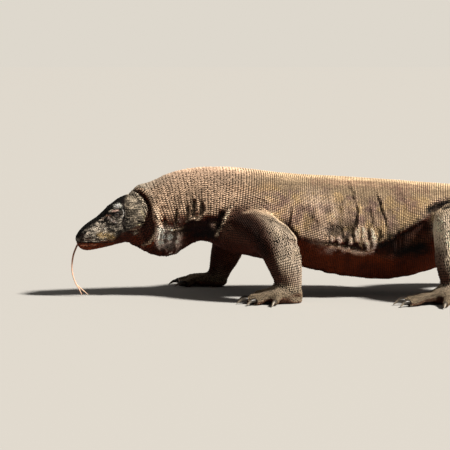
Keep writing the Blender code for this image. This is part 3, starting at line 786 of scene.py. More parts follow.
def set_on_hide(spots, high=0.016, low=0.022):
    """Drops beads from the solid's surface onto the hide. One that a limb covers is left out.

    Each is then a row of its place, normal, way along, length, width and room.
    """
    kept = []
    for row in spots:
        place, way = Vector(row[:3]), Vector(row[8:11]).normalized()
        hit, normal, face, away = HIDE_TREE.ray_cast(place + way * 0.03, -way, 0.06)
        if hit is None or away < 0.03 - high or away > 0.03 + low or normal.dot(way) < 0.25:
            continue
        even = smooth_normal(hit, face)
        along = row[3:6] / np.linalg.norm(row[3:6])
        flat_on = max(math.sqrt(max(1 - float(along @ even) ** 2, 0)), 0.5)
        kept.append((*hit, *even, *row[3:6], row[6] * flat_on, row[7], min(row[6], row[7]) * ROOM))
    return np.array(kept)


def openings(co):
    """True where a bead would lie in an eye, a nostril, an ear or the mouth."""
    there = in_head(co) * 1000
    flat = there[:, ::2]
    shut = np.zeros(len(co), bool)
    head = nearest(TREES["head"], co)[1] < 0.014
    for side, sign in SIDES.items():
        eye = eye_at(side)[0]
        beside = head & (there[:, 1] * sign > 8)
        shut |= beside & (in_almond(flat, eye) < 1.22)
        shut |= beside & (from_line(flat, EAR)[0] < 2.2)
        shut |= beside & (from_line(flat, EAR_LOWER)[0] < 1.6)
    shut |= head & (abs(there[:, 1]) > 8) & (from_line(flat, NOSTRIL)[0] < 2.6)
    shut |= head & (there[:, 0] < 128) & (from_line(flat, MOUTH_LINE)[0] < 1.5)
    return shut


def crowding(spots):
    """Drops each bead that stands too close to one before it in the list."""
    grid, kept = {}, []
    for k, (x, y, z, size) in enumerate(spots[:, (0, 1, 2, 11)].tolist()):
        i, j, m = int(x // CELL), int(y // CELL), int(z // CELL)
        beside = (grid.get((i + di, j + dj, m + dm), ()) for di, dj, dm in AROUND)
        if not any(
            (ox - x) ** 2 + (oy - y) ** 2 + (oz - z) ** 2 < (size + other) * (size + other)
            for cell in beside
            for ox, oy, oz, other in cell
        ):
            grid.setdefault((i, j, m), []).append((x, y, z, size))
            kept.append(k)
    return spots[kept]


def stretch_of(co):
    """For each point the nearest kind of solid: trunk, head, legs or feet."""
    away = np.stack([nearest(TREES[name], co)[1] for name in TREES])
    return np.array(list(TREES))[away.argmin(0)]


def finer_by(co, normals, kinds):
    """The beads shrink round the eye, on the cheek, at the nostril and on crumpled skin."""
    flat = in_head(co)[:, ::2] * 1000
    eye = eye_at("left")[0]
    from_eye = np.hypot(flat[:, 0] - eye.x, flat[:, 1] - eye.z)
    size = 1.18 - 0.50 * (1 - ease(from_eye, 9, 30)) - 0.22 * ease(flat[:, 0], 150, 175)
    size -= 0.20 * (1 - ease(from_line(flat, NOSTRIL)[0], 3, 12))
    on_trunk = 1 - 0.42 * crumpled(co, normals) - 0.40 * ease(co[:, 0] - CHEST_FRONT, 1.60, 1.94)
    return np.where(kinds == "head", size, np.where(kinds == "trunk", on_trunk, 1))


def fill_between(spots, ways_along, smaller):
    """Beads scattered wherever the rows left the hide bare: feet, seams and the roots of limbs."""
    hide.data.calc_loop_triangles()
    corners = values_of(hide.data.loop_triangles, "vertices", 3, np.int32)
    a, b, c = (HIDE_CO[corners[:, k]] for k in range(3))
    area = np.linalg.norm(np.cross(b - a, c - a), axis=1) / 2
    kinds = stretch_of((a + b + c) / 3)
    flat_normal = np.cross(b - a, c - a) / np.maximum(2 * area, 1e-12)[:, None]
    step = np.vectorize(FILL_STEP.get)(kinds) * finer_by((a + b + c) / 3, flat_normal, kinds) * smaller
    want = area / step**2
    count = int(want.sum() * TRIES)
    pick = CHANCE.choice(len(area), count, p=want / want.sum())
    u, v = CHANCE.random(count), CHANCE.random(count)
    over = u + v > 1
    u[over], v[over] = 1 - u[over], 1 - v[over]
    co = a[pick] + (b - a)[pick] * u[:, None] + (c - a)[pick] * v[:, None]
    n = [HIDE_NORMALS[corners[pick, k]] for k in range(3)]
    normal = n[0] * (1 - u - v)[:, None] + n[1] * u[:, None] + n[2] * v[:, None]
    normal /= np.linalg.norm(normal, axis=1)[:, None]
    step = step[pick] * (0.9 + 0.2 * CHANCE.random(count))
    along = ways_along(co, kinds[pick])
    longer = np.where(kinds[pick] == "head", 1.32, 1.08)
    made = np.column_stack([co, normal, along, step * longer * PLUMP, step * PLUMP, step * ROOM])
    return crowding(np.vstack([spots, made]))


def lip_beads():
    """The larger plates along both lips."""
    made = []
    for sign in SIDES.values():
        for above, size in ((3.4, 5.0), (-3.2, 4.6)):
            line = bent_line(MOUTH_LINE[1:-1], 400)
            length = lengths_along(line)
            for at in np.arange(size / 2, length[-1], size):
                back, up = (np.interp(at, length, line[:, k]) for k in range(2))
                start = HEAD_FRAME @ Vector((back / 1000, sign * 0.09, (up + above) / 1000))
                way = HEAD_FRAME.to_3x3() @ Vector((0, sign, 0))
                hit, _, face, _ = HIDE_TREE.ray_cast(start, -way, 0.12)
                if hit is None:
                    continue
                along = HEAD_FRAME.to_3x3() @ Vector((1, 0, -0.3))
                made.append((*hit, *smooth_normal(hit, face), *along, size / 1000, 0.0044, 0.0019))
    return np.array(made)


def lie_of_beads(co, kinds):
    """The way along which a scattered bead lies: back along the head, down the legs, else aft."""
    ways = np.tile(np.array((1.0, 0.0, 0.0)), (len(co), 1))
    ways[kinds == "head"] = np.array(HEAD_FRAME)[:3, 0]
    ways[kinds == "legs"] = (0.1, 0.0, -1.0)
    ways[kinds == "feet"] = (-1.0, 0.0, -0.3)
    return ways


def all_beads():
    """Lip plates, rows on trunk and legs, then two fills; with them comes the trunk's middle line."""
    core = trunk_core()
    rows = [lip_beads()]
    on_trunk = set_on_hide(rows_on(TREES["trunk"], core, TRUNK_STEPS, UP, 0.35))
    rows.append(on_trunk[crumpled(on_trunk[:, :3], on_trunk[:, 3:6]) < 0.5])
    for leg in LEGS.values():
        solid = shape_tree(leg[:2])
        on_leg = rows_on(solid, leg_core(*leg), LEG_STEPS, Vector((-1, 0, 0.1)), 0.15, 24)
        rows.append(set_on_hide(on_leg, 0.012, 0.012))
    spots = fill_between(np.vstack(rows), lie_of_beads, 1.0)
    spots = fill_between(spots, lie_of_beads, 0.72)
    turned_in = (spots[:, 0] > TAIL_TIP - 0.012) & (spots[:, 3] < -0.1)
    return spots[~openings(spots[:, :3]) & ~turned_in], core


beads, core = all_beads()

# ---------------------------------------------------------------- the paint
# Hide and scales share one coat of acrylics: broad thin washes first, then strokes laid by brush.
# Its colours go by the place on the body, so that each bead agrees with the skin around it.
# Some of them are painted shade and painted light, laid where the body shades itself or catches the light.
# The belly's dark red-brown is partly its own colour and partly painted shade. The last colour on this
# line, a dark red, is painted shade.
SAND, TAN, EARTH, MAUVE, BELLY_RED_AND_SHADE, SHADE_RED = "D6B996", "D2B298", "C4A68C", "8C6E68", "622406", "3E170A"
# The hind leg's near white is painted light, laid on the front of the thighs.
NAPE_GREY, LEG_GREY, LIT_HIND_LEG, FOOT, TAIL = "8E8476", "B0A08E", "F2DEC4", "7A6A55", "94806A"
# The throat's dark brown is painted shadow in the gully behind the cheek, and partly painted shadow at the
# jaw's rear.
HEAD_SIDE, HEAD_TOP, CHEEK, THROAT_SHADE_BROWN, OCHRE = "968C80", "0E0C0A", "8C8070", "38150A", "DAB884"
# The palest pink is partly the pouch's own skin and partly painted highlight on raised folds.
JAW, DARK, PALE_PINK_AND_LIT = "5C2408", "120A07", "FFE6D8"
# The near arm's crook, where painted shade lies.
CROOK = ((82, 232), (106, 226), (130, 205), (146, 172), (156, 145))
# Paint strokes on the trunk: a line, half width, colour and share.
TRUNK_STROKES = (
    # neck and pouch: a painted highlight on the neck's roll, the pouch's pale pink laid paler as painted
    # light, and a painted highlight on its ridge
    (((-155, 262), (-149, 238), (-143, 205), (-143, 170)), 7, "D8C2A8", 0.6),
    (((-139, 194), (-137, 172), (-136, 152)), 14, "FFE6DA", 0.9),
    (((-117, 192), (-116, 168), (-118, 148)), 14, "FFE6DA", 0.9),
    (((-95, 192), (-93, 170), (-96, 152)), 12, "E8C8B8", 0.9),
    (((-121, 197), (-106, 194), (-88, 197), (-70, 203)), 4, "DCC6A2", 0.8),
    # the hollow before the arm, painted dark as the shoulder's shadow, then the folds that stand out of it:
    # painted shade in the cleft at the arm's root, painted highlights on the ridges
    (((-74, 212), (-45, 206), (-10, 206), (28, 214)), 18, SHADE_RED, 0.95),
    (((-66, 184), (-25, 182), (15, 186), (50, 190)), 22, "220D06", 0.95),
    (((44, 252), (32, 228), (20, 202)), 9, DARK, 0.9),
    (((62, 262), (46, 234), (31, 204), (19, 177)), 3.4, "E0CAB0", 0.95),
    (((7, 211), (10, 208), (13, 204)), 8, "B89484", 0.9),
    (((-66, 220), (-50, 230), (-36, 226), (-22, 234)), 3.5, "C4AC94", 0.9),
    # the belly's flap, then broad washes on back and flank
    (((345, 151), (378, 145), (410, 136), (440, 133), (460, 140)), 7, "DAB094", 0.80),
    (((60, 318), (120, 312), (180, 318)), 14, "9A785E", 0.35),
    (((300, 333), (420, 330), (540, 322), (620, 312)), 13, "8A6056", 0.45),
    (((290, 288), (345, 258), (350, 215), (320, 185)), 30, "F0D4BC", 0.45),
    (((540, 300), (580, 268)), 22, "86605A", 0.50),
    # the groin painted dark as the thigh's cast shadow, and the crease over the thigh painted dark as its
    # shade
    (((495, 150), (550, 176), (605, 206)), 26, DARK, 1.0),
    (((520, 142), (560, 142), (610, 146)), 22, DARK, 1.0),
    (((626, 254), (645, 264), (670, 274), (712, 280)), 7, DARK, 0.95),
)
SNOUT_LIGHT = ((26, 34), (50, 29), (72, 18), (84, 4))  # the snout's palest band, in the head's millimetres
# Strokes on the head's sides, laid out in millimetres back from the lips and up.
HEAD_STROKES = (
    # round the eye: painted shade in the groove behind the socket, and a painted highlight on the brow
    (((166, 60), (160, 44), (153, 24), (140, 0), (142, -16)), 4.6, DARK, 1.0),
    (((141, 53), (149, 52)), 6.0, "FFFFF4", 1.0),
    (((125, 45), (135, 43.5), (145, 42)), 2.1, "E4BCAC", 0.95),
    (((106, 40), (116, 36)), 2.2, "A8806E", 0.7),
    (((110, 31), (117, 20), (124, 12)), 3.4, "F0DAD0", 1.0),
    (((89, 33), (99, 36)), 1.6, "B49C90", 0.6),
    (((154, 43), (155, 32), (150, 23), (141, 17)), 1.4, "D8D2CA", 0.85),
    (((97, 27), (107, 12), (126, 7)), 2.6, DARK, 1.0),
    # the ear and the cheek: painted shade in the ear's slit, and a painted highlight on the cheek's rear
    # edge
    (((176, -13), (195, -18)), 1.2, DARK, 0.9),
    (((177, -17), (187, -20), (199, -23)), 1.4, "E4D6AE", 0.95),
    (((150, -21), (171, -29), (187, -29)), 1.4, "B8A48C", 0.8),
    (((203, 14), (207, -2), (202, -18)), 4.0, "D2C29C", 0.6),
    # lips and nostril: painted shade above the upper lip, and a painted highlight along the lower jaw
    (((68, -6), (82, -12), (100, -22)), 9.0, "D2B27C", 0.75),
    (((12, -4), (35, -9), (58, -13)), 4.0, "2C1A12", 0.75),
    (((13, 13), (24, 12)), 6.0, "1E120E", 1.0),
    (((10, 1), (24, -1), (40, -7)), 6.0, "38200F", 0.75),
    (((8, -13), (25, -20), (46, -27)), 2.4, "B4785C", 0.7),
    (((114, -26), (134, -14), (150, -28)), 7.0, "180F0C", 0.8),
)


def hex_colour(code):
    """An sRGB hex colour as linear values."""
    parts = [int(code[k : k + 2], 16) / 255 for k in (0, 2, 4)]
    return np.array([p / 12.92 if p <= 0.04045 else ((p + 0.055) / 1.055) ** 2.4 for p in parts])


def blend_in(colour, share, code, tone=1.0):
    """Lays a colour over another by a share from 0 to 1."""
    return colour + (hex_colour(code) * tone - colour) * share[:, None]


def strokes(colour, flat, facing, broken, made):
    """Lays soft strokes of paint on the parts that face the side, broken where the brush ran dry."""
    for points, width, code, strength in made:
        rows = np.array(points)
        near = (flat > rows.min(0) - width * 2.5).all(1) & (flat < rows.max(0) + width * 2.5).all(1)
        near = np.flatnonzero(near & (facing > 0))
        if len(near):
            moved = flat[near] + np.stack([broken[near], -broken[near]], 1) * width * 0.35
            share = np.exp(-((from_line(moved, points)[0] / width) ** 2.6)) * strength * facing[near]
            share *= 1 - np.clip(broken[near] * 1.6, 0, 1) * 0.8 * (strength < 1)
            colour[near] = blend_in(colour[near], share, code)
    return colour


def relief_at(co):
    """How far the hide was folded up or down at the nearest place on it."""
    relief = values_of(hide.data.attributes["relief"].data, "value", 1).ravel()
    faces = [HIDE_TREE.find_nearest(Vector(p))[2] for p in co]
    corners = np.array([(HIDE_FACES[face] * 2)[:4] for face in faces])
    return relief[corners].mean(1)


def measured(co, normal):
    """What the paint goes by at each place: what it is part of, where it lies and how it faces."""
    skin = SimpleNamespace(co=co, normal=normal, up=normal[:, 2], kinds=stretch_of(co))
    skin.flat = side_view(co)
    skin.back, skin.height = skin.flat.T
    skin.from_trunk = nearest(TREES["trunk"], co)[1] * 1000
    skin.off_trunk = ease(skin.from_trunk, 0, 90) * (skin.kinds != "head")
    skin.sideways = ease(abs(normal[:, 1]), 0.15, 0.45)
    away, side, share = from_line(skin.flat, CHEEK_EDGE)
    skin.past_cheek = away * side
    skin.ends = np.clip(np.minimum(share, 1 - share) * 8, 0, 1)
    wide = np.interp(share, np.linspace(0, 1, len(GULLY_WIDTHS)), GULLY_WIDTHS)
    skin.gully = ease(skin.past_cheek, -1, 4) * (1 - ease(skin.past_cheek, wide - 4, wide))
    skin.gully = skin.gully * skin.ends * skin.sideways
    return skin


def back_and_flank(skin):
    """Sandy back, tan in front, grey on the nape and tail, with mauve and ochre patches between, and the
    slopes between back and flank painted darker as shade.
    """
    back, up = skin.back, skin.up
    colour = np.tile(hex_colour(SAND), (len(back), 1))
    colour = blend_in(colour, 1 - ease(back, 20, 240), TAN)
    colour = blend_in(colour, 1 - ease(back, -220, -60), NAPE_GREY)
    colour = blend_in(colour, 1 - ease(up, 0.25, 0.85), EARTH)
    # Painted shade on the slopes between back and flank, least on the neck.
    slope_shade = ease(up, 0.40, 0.66) * (1 - ease(up, 0.85, 0.96)) * (skin.kinds == "trunk")
    colour = colour * (1 - slope_shade * (0.40 - 0.26 * (1 - ease(back, -100, 50))))[:, None]
    mottled = (noise(skin.co, 0.030, 8) + 0.5 * noise(skin.co, 0.011, 9)) * (1 - ease(up, 0.5, 0.9))
    behind_arm = ease(back, 60, 200)
    colour = blend_in(colour, ease(mottled, -0.05, 0.55) * behind_arm * 0.70, MAUVE)
    colour = blend_in(colour, ease(-mottled, 0.05, 0.55) * behind_arm * 0.55, OCHRE)
    return blend_in(colour, ease(back, 600, 1100), TAIL)


def limbs(colour, skin):
    """Grey legs and brown feet, with painted light on the front of the thighs and painted shade, dark red,
    where a leg faces the body.
    """
    across = skin.co[:, 1]
    colour = blend_in(colour, skin.off_trunk * 0.85, LEG_GREY)
    # Painted light on the front of the thighs.
    thigh = ease(skin.from_trunk, 0, 30) * (skin.kinds == "legs") * ease(skin.back, 450, 600)
    thigh *= (1 - ease(skin.normal[:, 0], 0.0, 0.5)) * (1 - 0.8 * ease(skin.up, 0.35, 0.75))
    colour = blend_in(colour, thigh * ease(skin.height, 60, 120), LIT_HIND_LEG)
    # Painted shade, dark red, on the sides of the legs that face the body.
    inner_shade = ease(-skin.normal[:, 1] * np.sign(across), 0.05, 0.45)
    inner_shade *= skin.off_trunk * (abs(across) > 0.05)
    colour = blend_in(colour, inner_shade * 0.9, SHADE_RED)
    return blend_in(colour, skin.off_trunk * (1 - ease(skin.height, 20, 70)) * 0.85, FOOT)


def underside(colour, skin):
    """Rust red belly, laid dark where it faces down so that it also stands for its shade, and painted
    shade, dark red, before the legs and under the throat, darkest in the near arm's crook.
    """
    back, up = skin.back, skin.up
    # The belly's red where the skin faces down, partly its own colour and partly painted shade.
    colour = blend_in(colour, (1 - ease(up, -0.45, 0.10)) * (1 - 0.5 * skin.off_trunk), BELLY_RED_AND_SHADE)
    # Painted shade, dark red, on what faces forward, and on what faces down under the neck and chest.
    before = ease(-skin.normal[:, 0] - 0.6 * up, 0.05, 0.65)
    before *= (skin.kinds != "head") * ease(back, -120, 20)
    high_leg = ease(skin.height, 130, 200)
    colour = blend_in(colour, before * (0.9 - 0.9 * ease(back, 300, 450) * high_leg), SHADE_RED)
    colour = blend_in(colour, (1 - ease(up, -0.80, -0.35)) * (1 - ease(back, 100, 300)), SHADE_RED)
    # Painted shade in the near arm's crook, darkest along its middle.
    from_crook = from_line(skin.flat, CROOK)[0]
    crook = np.exp(-((from_crook / 39) ** 4))
    crook *= ease(-skin.normal[:, 1] - 0.5 * up, -0.35, 0.05) * ease(-skin.co[:, 1], 0.075, 0.105)
    colour = blend_in(colour, crook * 0.95, SHADE_RED)
    return blend_in(colour, crook * np.exp(-((from_crook / 18) ** 2)) * 0.7, DARK)


def lines_on_trunk(colour, skin):
    """Red below the flank's loose edge, partly the belly's colour and partly painted shade; painted shadow,
    dark brown, behind the cheek; and the strokes laid by brush.
    """
    # Below the flank's loose edge: the belly's red, partly painted shade under the edge.
    away, side, share = from_line(skin.flat, FLANK_EDGE)
    below = ease(-away * side, -1, 5) * np.clip(np.minimum(share, 1 - share) * 12, 0, 1)
    below *= (skin.kinds == "trunk") * skin.sideways * (1 - ease(skin.back, 620, 660))
    colour = blend_in(colour, below * 0.9, BELLY_RED_AND_SHADE)
    # Painted shadow, dark brown, in the gully behind the cheek.
    colour = blend_in(colour, skin.gully * 0.93, THROAT_SHADE_BROWN)
    facing = skin.sideways * (1 - ease(skin.from_trunk, 6, 22)) * (skin.kinds != "head")
    return strokes(colour, skin.flat, facing, noise(skin.co, 0.009, 15), TRUNK_STROKES)


def painted_fold_light_and_shade(colour, skin):
    """Painted light on the raised folds and painted shade in the creases, most on the bare, crumpled skin,
    where the pouch's pale pink is also laid paler as painted light.
    """
    bare = crumpled(skin.co, skin.normal) * (skin.kinds != "head")
    fold_light = relief_at(skin.co) / (4.5 - 2.4 * bare) + 0.25 + 0.62 * bare * (skin.back < -85)
    fold_light = np.clip(fold_light, -1, 1)
    paler = np.interp(skin.back, (-100, -80, 280, 360), (0.95, 0.08, 0.08, 0.35))
    # The pale pink on the ridges: partly the pouch's own skin, partly painted highlight.
    colour = blend_in(colour, bare * ease(fold_light, -0.1, 0.5) * paler, PALE_PINK_AND_LIT)
    return colour * (1 + 0.30 * np.clip(fold_light, 0, 1) - 0.72 * np.clip(-fold_light, 0, 1))[:, None]


def head_coat(colour, skin):
    """Streaked grey sides, black crown, red jaw turning dark brown at its rear, partly painted shadow, dark
    sockets, and the fine strokes of the face, some of them painted shade and painted highlights.
    """
    there = in_head(skin.co) * 1000
    flat = there[:, ::2]
    back, height = flat.T
    turned = turned_to_head(skin.normal)
    head = (skin.kinds == "head") * (1 - ease(back, 214, 226))
    at_rear = (1 - ease(skin.past_cheek, -1, 3)) * (1 - ease(-skin.past_cheek, 30, 50))
    head = np.maximum(head, at_rear * skin.ends * skin.sideways) * (1 - skin.gully)
    streaks = 1 + 2.3 * noise(skin.co, (0.011, 0.014, 0.0032), 6) + 0.5 * noise(skin.co, 0.007, 7)
    lit = np.exp(-((from_line(flat, SNOUT_LIGHT)[0] / 11) ** 2))
    streaks = np.clip(streaks * (0.78 + 0.55 * lit), 0.12, 2.2)[:, None]
    colour = blend_in(colour, head, HEAD_SIDE, streaks)
    colour = blend_in(colour, head * ease(back, 156, 172), CHEEK, np.clip(streaks, 0.4, 1.8))
    away, side = from_line(flat, MOUTH_LINE)[:2]
    jaw = ease(-away * side, 0.5, 3.0) * (1 - ease(back, 118, 138))
    jaw = np.maximum(jaw, (1 - ease(turned[:, 2], -0.65, -0.2)) * (1 - ease(height, -28, -18)))
    colour = blend_in(colour, head * jaw, JAW)
    # Dark brown at the jaw's rear, partly its own colour and partly painted shadow.
    colour = blend_in(colour, head * jaw * ease(back, 85, 120) * 0.9, THROAT_SHADE_BROWN)
    on_snout = (1 - ease(back, 72, 112)) * ease(back, 8, 24)
    top = ease(turned[:, 2] + 0.004 * (height - 40) - 0.26 * on_snout, 0.05, 0.42)
    cap = ease((height - 53) - 0.65 * (back - 160), -5, 5)
    top *= np.maximum(1 - ease(back, 150, 165), cap * (1 - ease(back, 184, 202)))
    colour = blend_in(colour, head * top, HEAD_TOP)
    facing = ease(abs(turned[:, 1]), 0.15, 0.40) * head
    lids = 1 - ease(in_almond(flat, eye_at("left")[0]), 1.8, 2.4)
    colour = blend_in(colour, lids * facing * 0.92, DARK)
    return strokes(colour, flat, facing, noise(skin.co, 0.005, 16), HEAD_STROKES)


def markings(co, normal):
    """The animal's colours, with painted light and shade, at any places on its surface, the same for hide
    and beads.
    """
    skin = measured(co, normal)
    colour = back_and_flank(skin)
    for coat in (limbs, underside, lines_on_trunk, painted_fold_light_and_shade, head_coat):
        colour = coat(colour, skin)
    patches = 1 + 0.17 * noise(co, 0.055, 1) + 0.14 * noise(co, 0.018, 2)
    return np.clip(colour * patches[:, None], 0.002, 0.9)


# ---------------------------------------------------------------- casting and laying the scales
# The beads of one stretch of the body are one piece. Each bead is closed, and keeps its paint and
# the height up to its crown at every corner, for the finish to read.
BEAD_STRAY = 0.06  # of a bead's width: how far it may lie off its place
BEAD_LENGTHS, BEAD_WIDTHS = (0.92, 1.04), (0.90, 1.04)
HEAD_CONTRAST, CONTRAST = 0.38, 0.14  # how far the beads' tones differ, on the head and elsewhere


def bead_shape():
    """A closed dome of six sides, one across and one high, as places and faces."""
    bm = bmesh.new()
    bmesh.ops.create_circle(bm, cap_ends=True, segments=6, radius=0.5)
    top = bm.faces[:]
    under = bmesh.ops.duplicate(bm, geom=top)["geom"]
    bmesh.ops.reverse_faces(bm, faces=[piece for piece in under if isinstance(piece, bmesh.types.BMFace)])
    bmesh.ops.inset_region(bm, faces=top, thickness=0.125, depth=0.70, use_boundary=True)
    bmesh.ops.poke(bm, faces=top, offset=0.30)
    bmesh.ops.remove_doubles(bm, verts=bm.verts[:], dist=0.0001)
    bmesh.ops.recalc_face_normals(bm, faces=bm.faces[:])
    bm.verts.index_update()
    co = np.array([vert.co[:] for vert in bm.verts])
    faces = [[vert.index for vert in face.verts] for face in bm.faces]
    bm.free()
    return co, faces


def joined(name, co, faces, count):
    """One mesh of many copies of a shape, whose places are already worked out."""
    mesh = bpy.data.meshes.new(name)
    size = len(co) // count
    corners = np.concatenate([np.array(face) for face in faces])
    lengths = np.array([len(face) for face in faces])
    loops = (corners[None, :] + (np.arange(count) * size)[:, None]).ravel()
    totals = np.tile(lengths, count)
    mesh.vertices.add(len(co))
    mesh.vertices.foreach_set("co", co.astype(np.float32).ravel())
    mesh.loops.add(len(loops))
    mesh.loops.foreach_set("vertex_index", loops.astype(np.int32))
    mesh.polygons.add(len(totals))
    mesh.polygons.foreach_set("loop_start", np.concatenate([[0], np.cumsum(totals)[:-1]]).astype(np.int32))
    mesh.polygons.foreach_set("use_smooth", [True] * len(totals))
    mesh.update(calc_edges=True)
    return mesh


BEAD_CO, BEAD_FACES = bead_shape()


def unwrap(co, stretch):
    """A place from 0 to 1 on the flattened hide: trunk below, then head, legs and feet in panels."""
    if stretch in LEGS:
        number = list(LEGS).index(stretch)
        low, high = (np.array(corner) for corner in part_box(LEGS[stretch][2]))
        foot = np.clip((co - low) / (high - low), 0, 1)
        top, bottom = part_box(LEGS[stretch][0])[1].z, 0.05
        middle_line = np.array(leg_core(*LEGS[stretch]))
        order = np.argsort(middle_line[:, 2])
        x = np.interp(co[:, 2], middle_line[order, 2], middle_line[order, 0])
        y = np.interp(co[:, 2], middle_line[order, 2], middle_line[order, 1])
        turn = np.arctan2(co[:, 1] - y, co[:, 0] - x) / (2 * math.pi) + 0.5
        panel = 0.33 + 0.168 * number
        height = np.clip((co[:, 2] - bottom) / (top - bottom), 0, 1)
        leg = np.stack([panel + 0.155 * turn, 0.69 + 0.29 * height], 1)
        under = co[:, 2] < 0.012
        paw = np.stack([panel + 0.078 * foot[:, 0] + 0.080 * under, 0.51 + 0.16 * foot[:, 1]], 1)
        return np.where((co[:, 2] < bottom)[:, None], paw, leg)
    if stretch == "head":
        there = in_head(co)
        turn = np.arctan2(there[:, 1], there[:, 2] - 0.005) / (2 * math.pi) + 0.5
        return np.stack([0.01 + 0.30 * np.clip(there[:, 0] / 0.24, 0, 1), 0.51 + 0.47 * turn], 1)
    points, length = along_core(core)
    k = np.clip(np.searchsorted(points[:, 0], co[:, 0]), 0, len(points) - 1)
    gap = co - points[k]
    turn = np.arctan2(gap[:, 1], gap[:, 2]) / (2 * math.pi) + 0.5
    return np.stack([0.01 + 0.98 * length[k] / length[-1], 0.01 + 0.47 * turn], 1)


def feed(tree, node, sockets):
    """Gives a node's sockets their values, or other nodes' outputs."""
    for socket, source in sockets.items():
        if isinstance(source, bpy.types.NodeSocket):
            tree.links.new(source, node.inputs[socket])
        else:
            node.inputs[socket].default_value = source


def node_add(tree, kind, sockets=None, **settings):
    """Adds a node with its settings, values and links."""
    made = tree.nodes.new(kind)
    for key, value in settings.items():
        setattr(made, key, value)
    feed(tree, made, sockets or {})
    return made


def new_finish(name):
    """A material with its node tree and its surface node."""
    made = bpy.data.materials.new(name)
    made.use_nodes = True
    return made, made.node_tree, made.node_tree.nodes["Principled BSDF"]


def linear(code):
    """A hex colour as a socket takes it."""
    return (*hex_colour(code), 1.0)


def stored(tree, name, output="Fac"):
    """A number or a colour kept at the corners of the piece."""
    return node_add(tree, "ShaderNodeAttribute", attribute_name=name).outputs[output]


def pattern(tree, size, detail, kind="ShaderNodeTexNoise", output="Fac"):
    """A pattern fixed to the piece, from the real size in millimetres of one grain or crease of it."""
    place = node_add(tree, "ShaderNodeTexCoord").outputs["Object"]
    sockets = {"Vector": place, "Scale": 1000 / size, "Detail": detail}
    return node_add(tree, kind, sockets).outputs[output]


def mapped(tree, value, start, end, **settings):
    """A value between two limits laid onto two others."""
    sockets = {"Value": value, "From Min": start[0], "From Max": start[1], "To Min": end[0],
               "To Max": end[1]}
    return node_add(tree, "ShaderNodeMapRange", sockets, **settings).outputs[0]


def worked(tree, operation, *values):
    """A sum or product of values."""
    return node_add(tree, "ShaderNodeMath", dict(enumerate(values)), operation=operation).outputs[0]


def toned(tree, colour, tone):
    """A colour made lighter or darker."""
    sockets = {0: colour, "Scale": tone}
    return node_add(tree, "ShaderNodeVectorMath", sockets, operation="SCALE").outputs[0]


def ramp(tree, value, first, *between, last):
    """A value as a colour between stops, each a place and a hex colour."""
    made = node_add(tree, "ShaderNodeValToRGB", {"Fac": value})
    stops = made.color_ramp.elements
    for stop, (place, code) in zip(stops, (first, last)):
        stop.position = place
        stop.color = linear(code)
    for place, code in between:
        stops.new(place).color = linear(code)
    return made.outputs["Color"]


def bumps(tree, height, strength, deep, **settings):
    """A pattern as relief, so many metres deep."""
    sockets = {"Height": height, "Strength": strength, "Distance": deep}
    return node_add(tree, "ShaderNodeBump", sockets, **settings).outputs[0]


def horny_beads():
    """Weathered keratin: matt and flecked with grime, painted dark at the foot of each bead as shade and
    pale on its crown as light.
    """
    made, tree, shader = new_finish("weathered_keratin_beads")
    # Dust lies in specks of a fifth of a millimetre. They are drawn coarser, or they wouldn't show.
    grime = pattern(tree, 1.1, 3.0)
    crown = stored(tree, "crown")
    # Painted shade towards each bead's foot and painted light on its crown.
    crown_shading = mapped(tree, crown, (0.15, 0.95), (0.10, 1.20), interpolation_type="SMOOTHSTEP")
    wear = mapped(tree, grime, (0.3, 0.7), (0.82, 1.14))
    shade = toned(tree, stored(tree, "markings", "Color"), worked(tree, "MULTIPLY", crown_shading, wear))
    gloss = mapped(tree, grime, (0.3, 0.7), (0.58, 0.76))
    feed(tree, shader, {"Base Color": shade, "Roughness": gloss, "IOR": 1.54,
                        "Specular IOR Level": 0.12, "Normal": bumps(tree, grime, 0.35, 0.0003)})
    return made


def bare_hide():
    """Soft leathery skin with fine granules, nearly black in the gaps between the beads."""
    made, tree, shader = new_finish("granular_hide")
    # The granules are half a millimetre across, and are drawn three times as coarse to show at all.
    grain = pattern(tree, 1.6, 0.0, "ShaderNodeTexVoronoi", "Distance")
    dull = mapped(tree, grain, (0.0, 0.7), (0.20, 0.06))
    shade = toned(tree, stored(tree, "markings", "Color"), dull)
    gloss = mapped(tree, pattern(tree, 7, 4.0), (0.0, 1.0), (0.62, 0.86))
    feed(tree, shader, {"Base Color": shade, "Roughness": gloss, "Specular IOR Level": 0.12,
                        "Normal": bumps(tree, grain, 0.5, 0.0008, invert=True)})
    return made


HIDE_FINISH, BEAD_FINISH = bare_hide(), horny_beads()
# The gaps between scales are less dark on the head and below, and darkest on the legs.
gap_light = 1 + (1 - ease(nearest(TREES["head"], HIDE_CO)[1], 0.003, 0.010))
gap_light = gap_light + 2.5 * (1 - ease(HIDE_NORMALS[:, 2], -0.5, 0.0))
gap_light = gap_light * np.where(stretch_of(HIDE_CO) == "legs", 0.35, 1)
keep_value(hide.data, "markings", markings(HIDE_CO, HIDE_NORMALS) * gap_light[:, None])
hide.data.materials.clear()
hide.data.materials.append(HIDE_FINISH)


def piece_of(name, mesh, finish):
    """A finished piece that rides with the body."""
    mesh.materials.append(finish)
    piece = bpy.data.objects.new(name, mesh)
    bpy.context.scene.collection.objects.link(piece)
    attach(piece, "root")
    return piece


